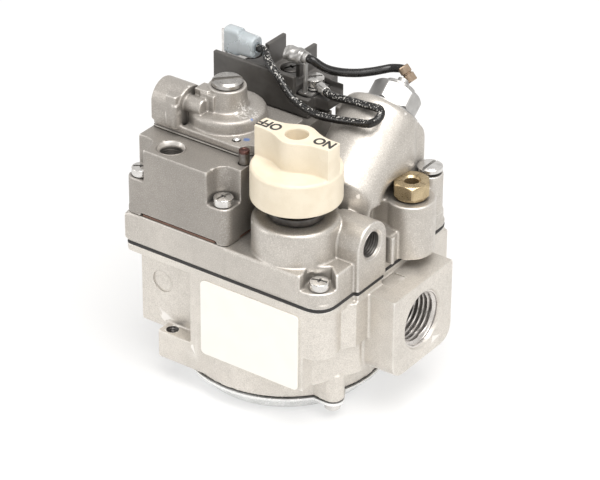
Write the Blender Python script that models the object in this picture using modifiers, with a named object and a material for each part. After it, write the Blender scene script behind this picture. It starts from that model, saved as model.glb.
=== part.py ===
"""Combination gas control valve, built as the separate pieces it comes apart into.

Metres. +X runs along the gas way from inlet to outlet, +Y to the back, +Z up.
The origin is the centre of the bottom cover's resting face.
"""
import math

import bmesh
import bpy
from mathutils import Matrix, Vector

# Fits
FACE_GAP = 0.0003
HOLE_GAP = 0.0003
RUN_GAP = 0.0004
ROOT = 0.0010

# Bottom cover
PAN_DEPTH = 0.0074
PAN_SHEET = 0.0010
PAN_FLOOR_RADIUS = 0.0315
PAN_WALL_RADIUS = 0.0352
PAN_RIM_RADIUS = 0.0372
EAR_RADIUS = 0.0042
EAR_OUTSET = 0.0022
EAR_TURN = math.radians(29.5)

# Main diaphragm and main valve
DIAPHRAGM_SHEET = 0.0008
DIAPHRAGM_RADIUS = 0.0362
DIAPHRAGM_PLATE_RADIUS = 0.0180
DIAPHRAGM_PLATE_THICK = 0.0012
MAIN_STEM_RADIUS = 0.0022
MAIN_DISC_RADIUS = 0.0115
MAIN_DISC_THICK = 0.0030
MAIN_SPRING_RADIUS = 0.0062
MAIN_SPRING_WIRE = 0.0010
MAIN_SPRING_TURNS = 3

# Lower body
LOWER_HEIGHT = 0.0421
LOWER_FLANGE = 0.0024
SKIRT_RADIUS = 0.0365
SKIRT_HEIGHT = 0.0097
DIAPHRAGM_WELL_RADIUS = 0.0310
DIAPHRAGM_WELL_DEPTH = 0.0067
CORE_FRONT = -0.0297
CORE_LEFT = -0.0423
CORE_RIGHT = 0.0412
CORE_BACK = 0.0415
CORE_BOTTOM = 0.0084
CORE_CORNER_BACK = -0.0130
PANEL_LEFT = -0.0160
PANEL_RIGHT = 0.0330
PANEL_BOTTOM = 0.0091
FOOT_LEFT = -0.0304
FOOT_RIGHT = 0.0010
FOOT_HEIGHT = 0.0110
FOOT_HOLE_RADIUS = 0.0023
FOOT_HOLE = (-0.0265, -0.0325)
LOBE_DEPTH = 0.0192
LOBE_RADIUS = 0.0081
PORT_AXIS_BACK = 0.0068
PORT_AXIS_HEIGHT = 0.0250
PORT_BLOCK_WIDTH = 0.0367
PORT_BLOCK_DROP = 0.0164
PORT_BLOCK_ROUND = 0.0060
OUTLET_FACE = 0.0542
INLET_FACE = -0.0535
PORT_RIM_RADIUS = 0.0114
PORT_BORE_RADIUS = 0.0104
PORT_CHAMFER = 0.0014
PORT_BORE_DEPTH = 0.0160
PASSAGE_RADIUS = 0.0086
INLET_WELL_X = -0.0270
INLET_WELL_RADIUS = 0.0080
OUTLET_WAY_END = -0.0080
VALVE_WELL_RADIUS = 0.0140
VALVE_WELL_DEPTH = 0.0098
VALVE_SEAT_RADIUS = 0.0090

# Body gasket and upper body plate
GASKET_THICK = 0.0014
PLATE_LEFT = -0.0440
PLATE_RIGHT = 0.0414
PLATE_FRONT = -0.0360
PLATE_BACK = 0.0440
PLATE_THICK = 0.0113
PLATE_CORNER = 0.0085
PLATE_LEFT_CORNER = 0.0018
GAS_WAY_DEPTH = 0.0050

# Body screws
BODY_SCREW_INSET = 0.0057
BODY_SCREW_LEFT_INSET = 0.0066
BODY_SCREW_LEFT_FRONT = 0.0200
BODY_SCREW_POCKET_RADIUS = 0.0054
BODY_SCREW_SEAT = 0.0055
BODY_SCREW_LENGTH = 0.0150

# Screw heads
SCREW_RADIUS = 0.0019
HEAD_RADIUS = 0.0037
HEAD_HEIGHT = 0.0024
DRIVE_WIDTH = 0.0010
DRIVE_DEPTH = 0.0011

# Gas cock and knob
KNOB_X = 0.0184
KNOB_Y = -0.0198
COCK_BOSS_RADIUS = 0.0156
COCK_BOSS_HEIGHT = 0.0128
COCK_BOSS_ROUND = 0.0022
PLUG_TOP_RADIUS = 0.0078
PLUG_FOOT_RADIUS = 0.0088
PLUG_HEIGHT = 0.0170
PLUG_LIFT = 0.0012
PLUG_PORT_RADIUS = 0.0036
BUSH_SPIGOT_RADIUS = 0.0060
BUSH_FLANGE_RADIUS = 0.0100
BUSH_FLANGE_THICK = 0.0025
BUSH_COLLAR_RADIUS = 0.0076
BUSH_HEIGHT = 0.0042
STEM_RADIUS = 0.0030
STEM_REACH = 0.0050
KNOB_RADIUS = 0.0161
KNOB_TRAVEL = 0.0045
KNOB_CLEAR = 0.0025
KNOB_SKIRT_HEIGHT = 0.0125
KNOB_WALL = 0.0024
KNOB_ROOF = 0.0030
KNOB_HUB_RADIUS = 0.0052
KNOB_HUB_DROP = 0.0040
GRIP_HEIGHT = 0.0115
GRIP_HALF_WIDTH = 0.0034
GRIP_SWELL_RADIUS = 0.0072
GRIP_SWELL_REACH = 0.0062
GRIP_HOLE_RADIUS = 0.0040
GRIP_HOLE_DEPTH = 0.0070
STEM_SPRING_WIRE = 0.0007
STEM_SPRING_TURNS = 3

# Side pressure port
TAP_Y = -0.0096
TAP_HEIGHT = 0.0040
TAP_RADIUS = 0.0086
TAP_FACE = 0.0433
TAP_INNER_END = 0.0285
TAP_BORE_RADIUS = 0.0047
TAP_RIM_RADIUS = 0.0056
TAP_BORE_DEPTH = 0.0120
TAP_COLUMN_HALF = 0.0080
TAP_COLUMN_DROP = 0.0170
TAP_COLUMN_ROUND = 0.0030

# Pilot fitting
PILOT_X = 0.0406
PILOT_Y = 0.0177
PILOT_BOSS_RADIUS = 0.0088
PILOT_BOSS_HEIGHT = 0.0098
PILOT_NUT_FLATS = 0.0122
PILOT_NUT_HEIGHT = 0.0052
PILOT_NUT_TURN = math.radians(-24.0)
PILOT_COLLAR_RADIUS = 0.0060
PILOT_COLLAR_HEIGHT = 0.0012
PILOT_SPIGOT_RADIUS = 0.0040
PILOT_SPIGOT_LENGTH = 0.0095
PILOT_TUBE_RADIUS = 0.0026
FERRULE_HEIGHT = 0.0030
WEB_LEFT = 0.0220
WEB_BACK = 0.0300

# Pilot adjusting screw
NEEDLE_X = 0.0400
NEEDLE_Y = 0.0302
NEEDLE_BOSS_RADIUS = 0.0048
NEEDLE_BOSS_HEIGHT = 0.0138
NEEDLE_HEAD_RADIUS = 0.0044
NEEDLE_HEAD_HEIGHT = 0.0024
NEEDLE_RADIUS = 0.0020
NEEDLE_LENGTH = 0.0150
ORING_THICK = 0.0008

# Magnet tower
TOWER_X = 0.0210
TOWER_TILT = math.radians(50.0)
TOWER_RADIUS = 0.0155
TOWER_ROUND = 0.0035
TOWER_LENGTH = 0.0340
TOWER_END_Y = 0.0316
TOWER_END_RISE = 0.0312
TOWER_BORE_RADIUS = 0.0080
TOWER_BORE_DEPTH = 0.0300
SAFETY_WAY_RADIUS = 0.0040
SAFETY_WAY_Y = 0.0060
MAGNET_NUT_FLATS = 0.0160
MAGNET_NUT_HEIGHT = 0.0104
MAGNET_SPIGOT_LENGTH = 0.0070
WASHER_RADIUS = 0.0106
WASHER_THICK = 0.0009
CORE_RADIUS = 0.0056
CORE_LENGTH = 0.0090
POPPET_RADIUS = 0.0072
POPPET_THICK = 0.0022
POPPET_LIFT = 0.0025
POPPET_SPRING_WIRE = 0.0007
POPPET_SPRING_TURNS = 5
SLEEVE_RADIUS = 0.0025
SLEEVE_LENGTH = 0.0062

# Regulator block
BLOCK_GASKET_THICK = 0.0006
BLOCK_LEFT = -0.0440
BLOCK_RIGHT = 0.0004
BLOCK_FRONT = -0.0360
BLOCK_BACK = 0.0350
BLOCK_HEIGHT = 0.0258
BLOCK_WALL = 0.0040
BLOCK_END_WALL = 0.0100
BLOCK_ROOF = 0.0110
BLOCK_CORNER = 0.0036
NOTCH_SIZE = 0.0084
NOTCH_ROUND = 0.0046
LEDGE_HEIGHT = 0.0132
BLOCK_SCREW_INSET = 0.0043
BLOCK_SCREW_LENGTH = 0.0210
TAPPING_X = -0.0286
TAPPING_Y = -0.0288
TAPPING_RIM_RADIUS = 0.0053
TAPPING_RADIUS = 0.0038
TAPPING_DEPTH = 0.0080

# Regulator cover
SERVO_SHEET = 0.0006
COVER_FRONT = -0.0203
COVER_BACK = 0.0103
COVER_THICK = 0.0027
COVER_CORNER = 0.0022
COVER_NOTCH = 0.0065
SERVO_X = -0.0220
SERVO_Y = -0.0050
SERVO_WELL_RADIUS = 0.0112
SERVO_WELL_DEPTH = 0.0078
DOME_RADIUS = 0.0138
DOME_HEIGHT = 0.0050
DOME_ROUND = 0.0024
COVER_WELL_DEPTH = 0.0046
SPRING_TOWER_RADIUS = 0.0071
SPRING_TOWER_TOP_RADIUS = 0.0067
SPRING_TOWER_HEIGHT = 0.0080
CAP_RADIUS = 0.0056
CAP_HEIGHT = 0.0022
CAP_SPIGOT_RADIUS = 0.0048
CAP_SPIGOT_LENGTH = 0.0030
CAP_SLOT_WIDTH = 0.0018
CAP_SLOT_DEPTH = 0.0012
ADJUSTER_THICK = 0.0026
SERVO_PLATE_RADIUS = 0.0080
SERVO_PLATE_THICK = 0.0010
SERVO_SPRING_RADIUS = 0.0034
SERVO_SPRING_WIRE = 0.0007
SERVO_SPRING_TURNS = 4
VENT_LENGTH = 0.0150
VENT_RADIUS = 0.0073
VENT_SPRING_HEIGHT = 0.0052
VENT_WALL = 0.0016
VENT_RIB_RADIUS = 0.0018
VENT_RIB_INSET = 0.0108
PIN_RADIUS = 0.0019
PIN_HEIGHT = 0.0053
PIN_DEPTH = 0.0060
PIN_X = -0.0020
PIN_Y = -0.0222
RIVET_RADIUS = 0.0012
RIVET_HEAD_RADIUS = 0.0017
RIVET_HEAD_HEIGHT = 0.0006
RIVET_DEPTH = 0.0050
RIVET_INSET = 0.0040
RIVET_RIGHT_X = -0.0097

# Terminal block
TERMINAL_LEFT = -0.0442
TERMINAL_RIGHT = -0.0026
PEDESTAL_RIGHT = 0.0030
PEDESTAL_FRONT = 0.0200
PEDESTAL_BACK = 0.0300
PEDESTAL_HEIGHT = 0.0070
TERMINAL_FRONT = 0.0160
TERMINAL_BACK = 0.0345
TERMINAL_HEIGHT = 0.0100
TERMINAL_WALL = 0.0018
TERMINAL_DECK = 0.0022
FRONT_WALL_RIGHT = -0.0070
FRONT_WALL_HEIGHT = 0.0142
FIN_X = (-0.0260, -0.0125)
FIN_THICK = 0.0016
FIN_FRONT = 0.0236
FIN_HEIGHT = 0.0193
METAL = 0.0008
TERMINAL_SCREW_X = -0.0058
TERMINAL_SCREW_Y = 0.0245
TERMINAL_SCREW_LENGTH = 0.0070
TERMINAL_MOUNT_SCREW_X = (-0.0370, -0.0190)
TERMINAL_MOUNT_SCREW_Y = 0.0290
TERMINAL_MOUNT_SCREW_LENGTH = 0.0150
TAB_Y = 0.0210
TAB_WIDTH = 0.0063
TAB_RISE = 0.0040
TAB_POST = 0.0022
TAB_FOOT = 0.0090
CONNECTOR_LENGTH = 0.0130
CONNECTOR_HEIGHT = 0.0092
CONNECTOR_THICK = 0.0054
CONNECTOR_ROUND = 0.0018
CONNECTOR_END = 0.0035
RING_RADIUS = 0.0039
BARREL_RADIUS = 0.0018
RING_BARREL_LENGTH = 0.0058
RING_TURN = math.radians(-27.0)
FLAG_STRIP_X = -0.0063
FLAG_STRIP_FRONT = 0.0182
FLAG_STRIP_WIDTH = 0.0020
FLAG_PLATE_BACK = 0.0290
FLAG_RISE = 0.0086
FLAG_BARREL_LENGTH = 0.0090
FLAG_BARREL_RADIUS = 0.0021

# Leads: diameters, and the points between their two ends
CONNECTOR_LEAD = 0.0029
MAGNET_LEAD = 0.0031
LEAD_STEP = 0.0042
LEAD_STRAIGHT = 0.0015
CONNECTOR_LEAD_ROUTE = [
    (-0.0240, 0.0200, 0.1100), (-0.0205, 0.0165, 0.1092), (-0.0165, 0.0142, 0.1078),
    (-0.0130, 0.0129, 0.1058), (-0.0098, 0.0122, 0.1031), (-0.0064, 0.0117, 0.1005),
    (-0.0020, 0.0112, 0.0988), (0.0042, 0.0104, 0.0981), (0.0100, 0.0097, 0.0988),
    (0.0162, 0.0092, 0.1000), (0.0220, 0.0092, 0.1010), (0.0264, 0.0096, 0.1018),
    (0.0297, 0.0110, 0.1032), (0.0309, 0.0130, 0.1046), (0.0292, 0.0143, 0.1055),
    (0.0250, 0.0147, 0.1058), (0.0200, 0.0153, 0.1058), (0.0150, 0.0165, 0.1053),
    (0.0100, 0.0181, 0.1048), (0.0062, 0.0188, 0.1046),
]
MAGNET_LEAD_ROUTE = [
    (0.0000, 0.0225, 0.1098), (0.0036, 0.0263, 0.1082), (0.0076, 0.0312, 0.1079),
    (0.0110, 0.0360, 0.1082), (0.0132, 0.0396, 0.1076), (0.0149, 0.0419, 0.1060),
]

# Heights of the stacked castings
Z_LOWER = PAN_DEPTH + DIAPHRAGM_SHEET + 2 * FACE_GAP
Z_LOWER_TOP = Z_LOWER + LOWER_HEIGHT
Z_PLATE = Z_LOWER_TOP + GASKET_THICK + 2 * FACE_GAP
Z_PLATE_TOP = Z_PLATE + PLATE_THICK
Z_BLOCK = Z_PLATE_TOP + BLOCK_GASKET_THICK + 2 * FACE_GAP
Z_BLOCK_TOP = Z_BLOCK + BLOCK_HEIGHT
Z_COVER = Z_BLOCK_TOP + SERVO_SHEET + 2 * FACE_GAP
Z_COVER_TOP = Z_COVER + COVER_THICK
Z_DOME_TOP = Z_COVER_TOP + DOME_HEIGHT
Z_SPRING_TOWER_TOP = Z_DOME_TOP + SPRING_TOWER_HEIGHT
Z_COCK_BOSS_TOP = Z_PLATE_TOP + COCK_BOSS_HEIGHT
Z_BUSH = Z_COCK_BOSS_TOP + FACE_GAP
Z_BUSH_TOP = Z_BUSH + BUSH_HEIGHT
Z_KNOB = Z_COCK_BOSS_TOP + KNOB_TRAVEL + KNOB_CLEAR
Z_SKIRT_TOP = Z_KNOB + KNOB_SKIRT_HEIGHT
Z_GRIP_TOP = Z_SKIRT_TOP + GRIP_HEIGHT
Z_PORT = Z_LOWER + PORT_AXIS_HEIGHT
Z_TAP = Z_PLATE_TOP + TAP_HEIGHT
Z_PILOT_TOP = Z_PLATE_TOP + PILOT_BOSS_HEIGHT
Z_NEEDLE_TOP = Z_PLATE_TOP + NEEDLE_BOSS_HEIGHT
Z_LEDGE = Z_BLOCK + LEDGE_HEIGHT
Z_TERMINAL = Z_BLOCK_TOP + FACE_GAP
Z_DECK = Z_TERMINAL + TERMINAL_HEIGHT
Z_TERMINAL_PLATE = Z_DECK + FACE_GAP
Z_MAIN_SEAT = Z_LOWER_TOP - VALVE_WELL_DEPTH
Z_BODY_SCREW_SEAT = Z_PLATE + BODY_SCREW_SEAT

UP = Vector((0.0, 0.0, 1.0))
RIGHT = Vector((1.0, 0.0, 0.0))
BACK = Vector((0.0, 1.0, 0.0))
TOWER_AXIS = Vector((0.0, math.sin(TOWER_TILT), math.cos(TOWER_TILT)))
TOWER_END = Vector((TOWER_X, TOWER_END_Y, Z_PLATE_TOP + TOWER_END_RISE))
# Local x, y and z of an outline that is extruded along X
ALONG_X = Matrix(((0, 0, 1, 0), (1, 0, 0, 0), (0, 1, 0, 0), (0, 0, 0, 1)))

PARTS = "gas_valve"
CUTTERS = "gas_valve_cutters"


def clear_scene():
    for old in list(bpy.data.objects):
        bpy.data.objects.remove(old, do_unlink=True)


def collection(name):
    if name not in bpy.data.collections:
        bpy.context.scene.collection.children.link(bpy.data.collections.new(name))
    return bpy.data.collections[name]


def finish(name, colour, roughness, metallic):
    """A plain surface finish with its colour, roughness and metallic value."""
    if name in bpy.data.materials:
        return bpy.data.materials[name]
    material = bpy.data.materials.new(name)
    material.use_nodes = True
    shader = material.node_tree.nodes["Principled BSDF"]
    shader.inputs["Base Color"].default_value = (*colour, 1.0)
    shader.inputs["Roughness"].default_value = roughness
    shader.inputs["Metallic"].default_value = metallic
    return material


def aluminium():
    return finish("cast_aluminium", (0.62, 0.59, 0.55), 0.45, 1.0)


def dark_aluminium():
    return finish("dark_cast_aluminium", (0.48, 0.45, 0.42), 0.5, 1.0)


def zinc_steel():
    return finish("zinc_steel", (0.72, 0.73, 0.74), 0.25, 1.0)


def spring_steel():
    return finish("spring_steel", (0.5, 0.5, 0.52), 0.3, 1.0)


def brass():
    return finish("brass", (0.66, 0.48, 0.22), 0.35, 1.0)


def bronze():
    return finish("bronze", (0.45, 0.27, 0.14), 0.35, 1.0)


def chrome():
    return finish("chrome", (0.85, 0.85, 0.86), 0.15, 1.0)


def cream_plastic():
    return finish("cream_plastic", (0.86, 0.78, 0.62), 0.5, 0.0)


def dark_plastic():
    return finish("dark_plastic", (0.06, 0.06, 0.06), 0.55, 0.0)


def nylon():
    return finish("nylon", (0.72, 0.78, 0.84), 0.4, 0.0)


def rubber():
    return finish("black_rubber", (0.02, 0.02, 0.02), 0.7, 0.0)


def fibre():
    return finish("fibre", (0.20, 0.12, 0.09), 0.85, 0.0)


def lead_jacket():
    return finish("lead_jacket", (0.015, 0.015, 0.015), 0.45, 0.0)


def from_bmesh(name, bm):
    bmesh.ops.recalc_face_normals(bm, faces=bm.faces)
    if bm.calc_volume(signed=True) < 0.0:
        bmesh.ops.reverse_faces(bm, faces=bm.faces)
    mesh = bpy.data.meshes.new(name)
    bm.to_mesh(mesh)
    bm.free()
    mesh.shade_smooth()
    mesh.set_sharp_from_angle(angle=math.radians(35.0))
    piece = bpy.data.objects.new(name, mesh)
    collection(PARTS).objects.link(piece)
    return piece


def solidified(carrier, move, flat_ends=False):
    """The closed mesh of a curve or of a profile with a modifier, moved to its place."""
    name = carrier.name
    graph = bpy.context.evaluated_depsgraph_get()
    mesh = bpy.data.meshes.new_from_object(carrier.evaluated_get(graph))
    bpy.data.objects.remove(carrier, do_unlink=True)
    bm = bmesh.new()
    bm.from_mesh(mesh)
    bpy.data.meshes.remove(mesh)
    bmesh.ops.remove_doubles(bm, verts=bm.verts, dist=1e-6)
    if flat_ends:
        middles = [v for v in bm.verts if v.co.xy.length < 1e-7]
        flat = [v for v in middles if max(abs(e.other_vert(v).co.z - v.co.z) for e in v.link_edges) < 1e-7]
        bmesh.ops.dissolve_verts(bm, verts=flat)
    bm.transform(move)
    return from_bmesh(name, bm)


def box(name, low, high):
    bm = bmesh.new()
    bmesh.ops.create_cube(bm, size=1.0)
    low, high = Vector(low), Vector(high)
    size = high - low
    bm.transform(Matrix.Translation((low + high) / 2) @ Matrix.Diagonal((*size, 1.0)))
    return from_bmesh(name, bm)


def aimed(base, axis):
    """The frame whose z axis runs along axis from base."""
    turn = UP.rotation_difference(Vector(axis)).to_matrix().to_4x4()
    return Matrix.Translation(Vector(base)) @ turn


def rod(name, base, axis, length, radius, tip_radius=None, sides=24):
    """A cylinder, or a cone, that starts at base and runs along axis."""
    bm = bmesh.new()
    tip = radius if tip_radius is None else tip_radius
    bmesh.ops.create_cone(bm, cap_ends=True, segments=sides, radius1=radius, radius2=tip, depth=length)
    bm.transform(aimed(base, axis) @ Matrix.Translation((0, 0, length / 2)))
    return from_bmesh(name, bm)


def hexagon(name, base, axis, length, flats, turn=0.0):
    nut = rod(name, (0, 0, 0), UP, length, flats / math.sqrt(3.0), sides=6)
    nut.data.transform(aimed(base, axis) @ Matrix.Rotation(turn, 4, "Z"))
    return nut


def turned(name, profile, base=(0, 0, 0), axis=UP, sides=24):
    """A profile of (radius, height) points, top to bottom on its outer side, turned round its axis."""
    mesh = bpy.data.meshes.new(name)
    count = len(profile)
    closed = profile[0][0] > 0.0
    edges = [(i, i + 1) for i in range(count - 1)] + ([(count - 1, 0)] if closed else [])
    mesh.from_pydata([(radius, 0.0, height) for radius, height in profile], edges, [])
    carrier = bpy.data.objects.new(name, mesh)
    collection(PARTS).objects.link(carrier)
    screw = carrier.modifiers.new("turn", "SCREW")
    screw.steps = screw.render_steps = sides
    screw.use_merge_vertices = True
    screw.merge_threshold = 1e-6
    return solidified(carrier, aimed(base, axis), flat_ends=True)


def slab(name, outline, low, high, frame=Matrix()):
    """A flat outline, extruded from low to high along its own normal."""
    curve = bpy.data.curves.new(name, "CURVE")
    curve.dimensions = "2D"
    curve.fill_mode = "BOTH"
    curve.extrude = (high - low) / 2
    spline = curve.splines.new("POLY")
    spline.points.add(len(outline) - 1)
    spline.use_cyclic_u = True
    for point, (x, y) in zip(spline.points, outline):
        point.co = (x, y, 0.0, 1.0)
    carrier = bpy.data.objects.new(name, curve)
    collection(PARTS).objects.link(carrier)
    return solidified(carrier, frame @ Matrix.Translation((0, 0, (low + high) / 2)))


def arc(centre, radius, start, end, steps):
    angles = [start + (end - start) * i / steps for i in range(steps + 1)]
    return [(centre[0] + radius * math.cos(a), centre[1] + radius * math.sin(a)) for a in angles]


def rounded(corners, steps=5):
    """An outline whose corners (x, y, radius), in turn, are rounded by arcs."""
    points = []
    for i, (x, y, radius) in enumerate(corners):
        here = Vector((x, y))
        to_last = (Vector(corners[i - 1][:2]) - here).normalized()
        to_next = (Vector(corners[(i + 1) % len(corners)][:2]) - here).normalized()
        if radius == 0.0:
            points.append((x, y))
            continue
        half = to_last.angle(to_next) / 2
        reach = radius / math.tan(half)
        centre = here + (to_last + to_next).normalized() * (radius / math.sin(half))
        first = here + to_last * reach - centre
        last = here + to_next * reach - centre
        start = math.atan2(first.y, first.x)
        sweep = math.atan2(last.y, last.x) - start
        sweep = (sweep + math.pi) % (2 * math.pi) - math.pi
        points += arc(centre, radius, start, start + sweep, steps)
    return points


def rectangle(left, front, right, back, radius):
    corners = [(left, front), (right, front), (right, back), (left, back)]
    return rounded([(x, y, radius) for x, y in corners])


def arch(axis, spring, radius, foot, steps=12):
    """An upright outline with a round top: axis across, spring line and foot up."""
    top = arc((axis, spring), radius, 0.0, math.pi, steps)
    return top + [(axis - radius, foot), (axis + radius, foot)]


def boolean(piece, tool, operation):
    modifier = piece.modifiers.new(tool.name, "BOOLEAN")
    modifier.operation = operation
    modifier.solver = "EXACT"
    modifier.object = tool
    collection(PARTS).objects.unlink(tool)
    collection(CUTTERS).objects.link(tool)
    tool.hide_render = True
    tool.display_type = "WIRE"


def join(piece, *tools):
    for tool in tools:
        boolean(piece, tool, "UNION")


def cut(piece, *tools):
    for tool in tools:
        boolean(piece, tool, "DIFFERENCE")


def hole(piece, label, base, axis, length, radius, sides=12):
    """A round hole that starts a little outside the face at base."""
    start = Vector(base) - Vector(axis) * ROOT
    cut(piece, rod(f"{piece.name}_{label}", start, axis, length + ROOT, radius, sides=sides))


def mouthed_bore(piece, label, base, outward, rim, chamfer, steps, sides=32):
    """A bore with a chamfered mouth; steps are its (radius, depth) from the mouth inwards."""
    bore = steps[0][0]
    spread = (rim - bore) / chamfer * ROOT
    profile = [(0.0, ROOT), (rim + spread, ROOT), (bore, -chamfer)]
    above = None
    for radius, depth in steps:
        if above is not None:
            profile.append((radius, above))
        profile.append((radius, -depth))
        above = -depth
    profile.append((0.0, above))
    cut(piece, turned(f"{piece.name}_{label}", profile, base, outward, sides))


def coil(name, base, axis, length, radius, wire, turns):
    """A compression spring of round wire; prints the least gap between its turns."""
    points_a_turn = 9
    count = turns * points_a_turn
    curve = bpy.data.curves.new(name, "CURVE")
    curve.dimensions = "3D"
    curve.bevel_depth = wire / 2
    curve.bevel_resolution = 1
    curve.use_fill_caps = True
    spline = curve.splines.new("POLY")
    spline.points.add(count)
    for i, point in enumerate(spline.points):
        angle = 2 * math.pi * i / points_a_turn
        height = wire / 2 + (length - wire) * i / count
        point.co = (radius * math.cos(angle), radius * math.sin(angle), height, 1.0)
    carrier = bpy.data.objects.new(name, curve)
    collection(PARTS).objects.link(carrier)
    print(f"{name}: gap between turns {((length - wire) / turns - wire) * 1000:.2f} mm")
    return solidified(carrier, aimed(base, axis))


def smooth_route(points, step):
    """Points about one step apart on a smooth curve through the given points."""
    route = [Vector(p) for p in points]
    ends = [route[0] * 2 - route[1]] + route + [route[-1] * 2 - route[-2]]
    result = []
    for a, b, c, d in zip(ends, ends[1:], ends[2:], ends[3:]):
        count = max(1, round((c - b).length / step))
        for i in range(count):
            t = i / count
            bend = 2 * b + (c - a) * t + (2 * a - 5 * b + 4 * c - d) * t * t
            result.append((bend + (3 * b - a - 3 * c + d) * t ** 3) / 2)
    return result + [route[-1]]


def lead(name, points, diameter):
    """An insulated wire along its route."""
    route = smooth_route(points, LEAD_STEP)
    curve = bpy.data.curves.new(name, "CURVE")
    curve.dimensions = "3D"
    curve.bevel_depth = diameter / 2
    curve.bevel_resolution = 2
    curve.use_fill_caps = True
    spline = curve.splines.new("POLY")
    spline.points.add(len(route) - 1)
    for point, place in zip(spline.points, route):
        point.co = (*place, 1.0)
    carrier = bpy.data.objects.new(name, curve)
    collection(PARTS).objects.link(carrier)
    length = sum((b - a).length for a, b in zip(route, route[1:]))
    print(f"{name}: {length * 1000:.1f} mm long")
    return solidified(carrier, Matrix())


def dress(piece, material):
    piece.data.materials.clear()
    piece.data.materials.append(material)
    return piece


def carry(pieces, name, place):
    """Hang moving pieces on an empty that stands on their joint's axis."""
    pivot = bpy.data.objects.new(name, None)
    pivot.location = place
    pivot.empty_display_size = 0.01
    collection(PARTS).objects.link(pivot)
    bpy.context.view_layer.update()
    for piece in pieces:
        piece.parent = pivot
        piece.matrix_parent_inverse = pivot.matrix_world.inverted()
    place = pivot.matrix_world.translation
    print(f"{name}: ({place.x:.5f}, {place.y:.5f}, {place.z:.5f})")
    return pivot


def pan_screw_places():
    turns = [-EAR_TURN, EAR_TURN, math.pi - EAR_TURN, math.pi + EAR_TURN]
    circle = PAN_RIM_RADIUS + EAR_OUTSET
    return [(circle * math.cos(a), circle * math.sin(a)) for a in turns]


def body_screw_places():
    right = PLATE_RIGHT - BODY_SCREW_INSET
    left = PLATE_LEFT + BODY_SCREW_LEFT_INSET
    front = PLATE_FRONT + BODY_SCREW_INSET
    back = PLATE_BACK - BODY_SCREW_INSET
    return [(right, front), (right, back), (left, PLATE_FRONT + BODY_SCREW_LEFT_FRONT), (left, back)]


def block_screw_places():
    left, right = BLOCK_LEFT + BLOCK_SCREW_INSET, BLOCK_RIGHT - BLOCK_SCREW_INSET
    front, back = BLOCK_FRONT + BLOCK_SCREW_INSET, BLOCK_BACK - BLOCK_SCREW_INSET
    return [(left, front), (right, front), (left, back), (right, back)]


def rivet_places():
    return [(RIVET_RIGHT_X, COVER_FRONT + RIVET_INSET), (BLOCK_LEFT + RIVET_INSET, COVER_BACK - RIVET_INSET)]


def plate_outline():
    """The joint face: a rounded rectangle that steps out under the side port."""
    r, small, step = PLATE_CORNER, PLATE_LEFT_CORNER, TAP_FACE - FACE_GAP
    front, back = TAP_Y - TAP_COLUMN_HALF, TAP_Y + TAP_COLUMN_HALF
    return rounded([(PLATE_LEFT, PLATE_FRONT, small), (PLATE_RIGHT, PLATE_FRONT, r),
                    (PLATE_RIGHT, front, 0.0), (step, front, 0.0), (step, back, 0.0),
                    (PLATE_RIGHT, back, 0.0), (PLATE_RIGHT, PLATE_BACK, r),
                    (PLATE_LEFT, PLATE_BACK, small)])


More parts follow.
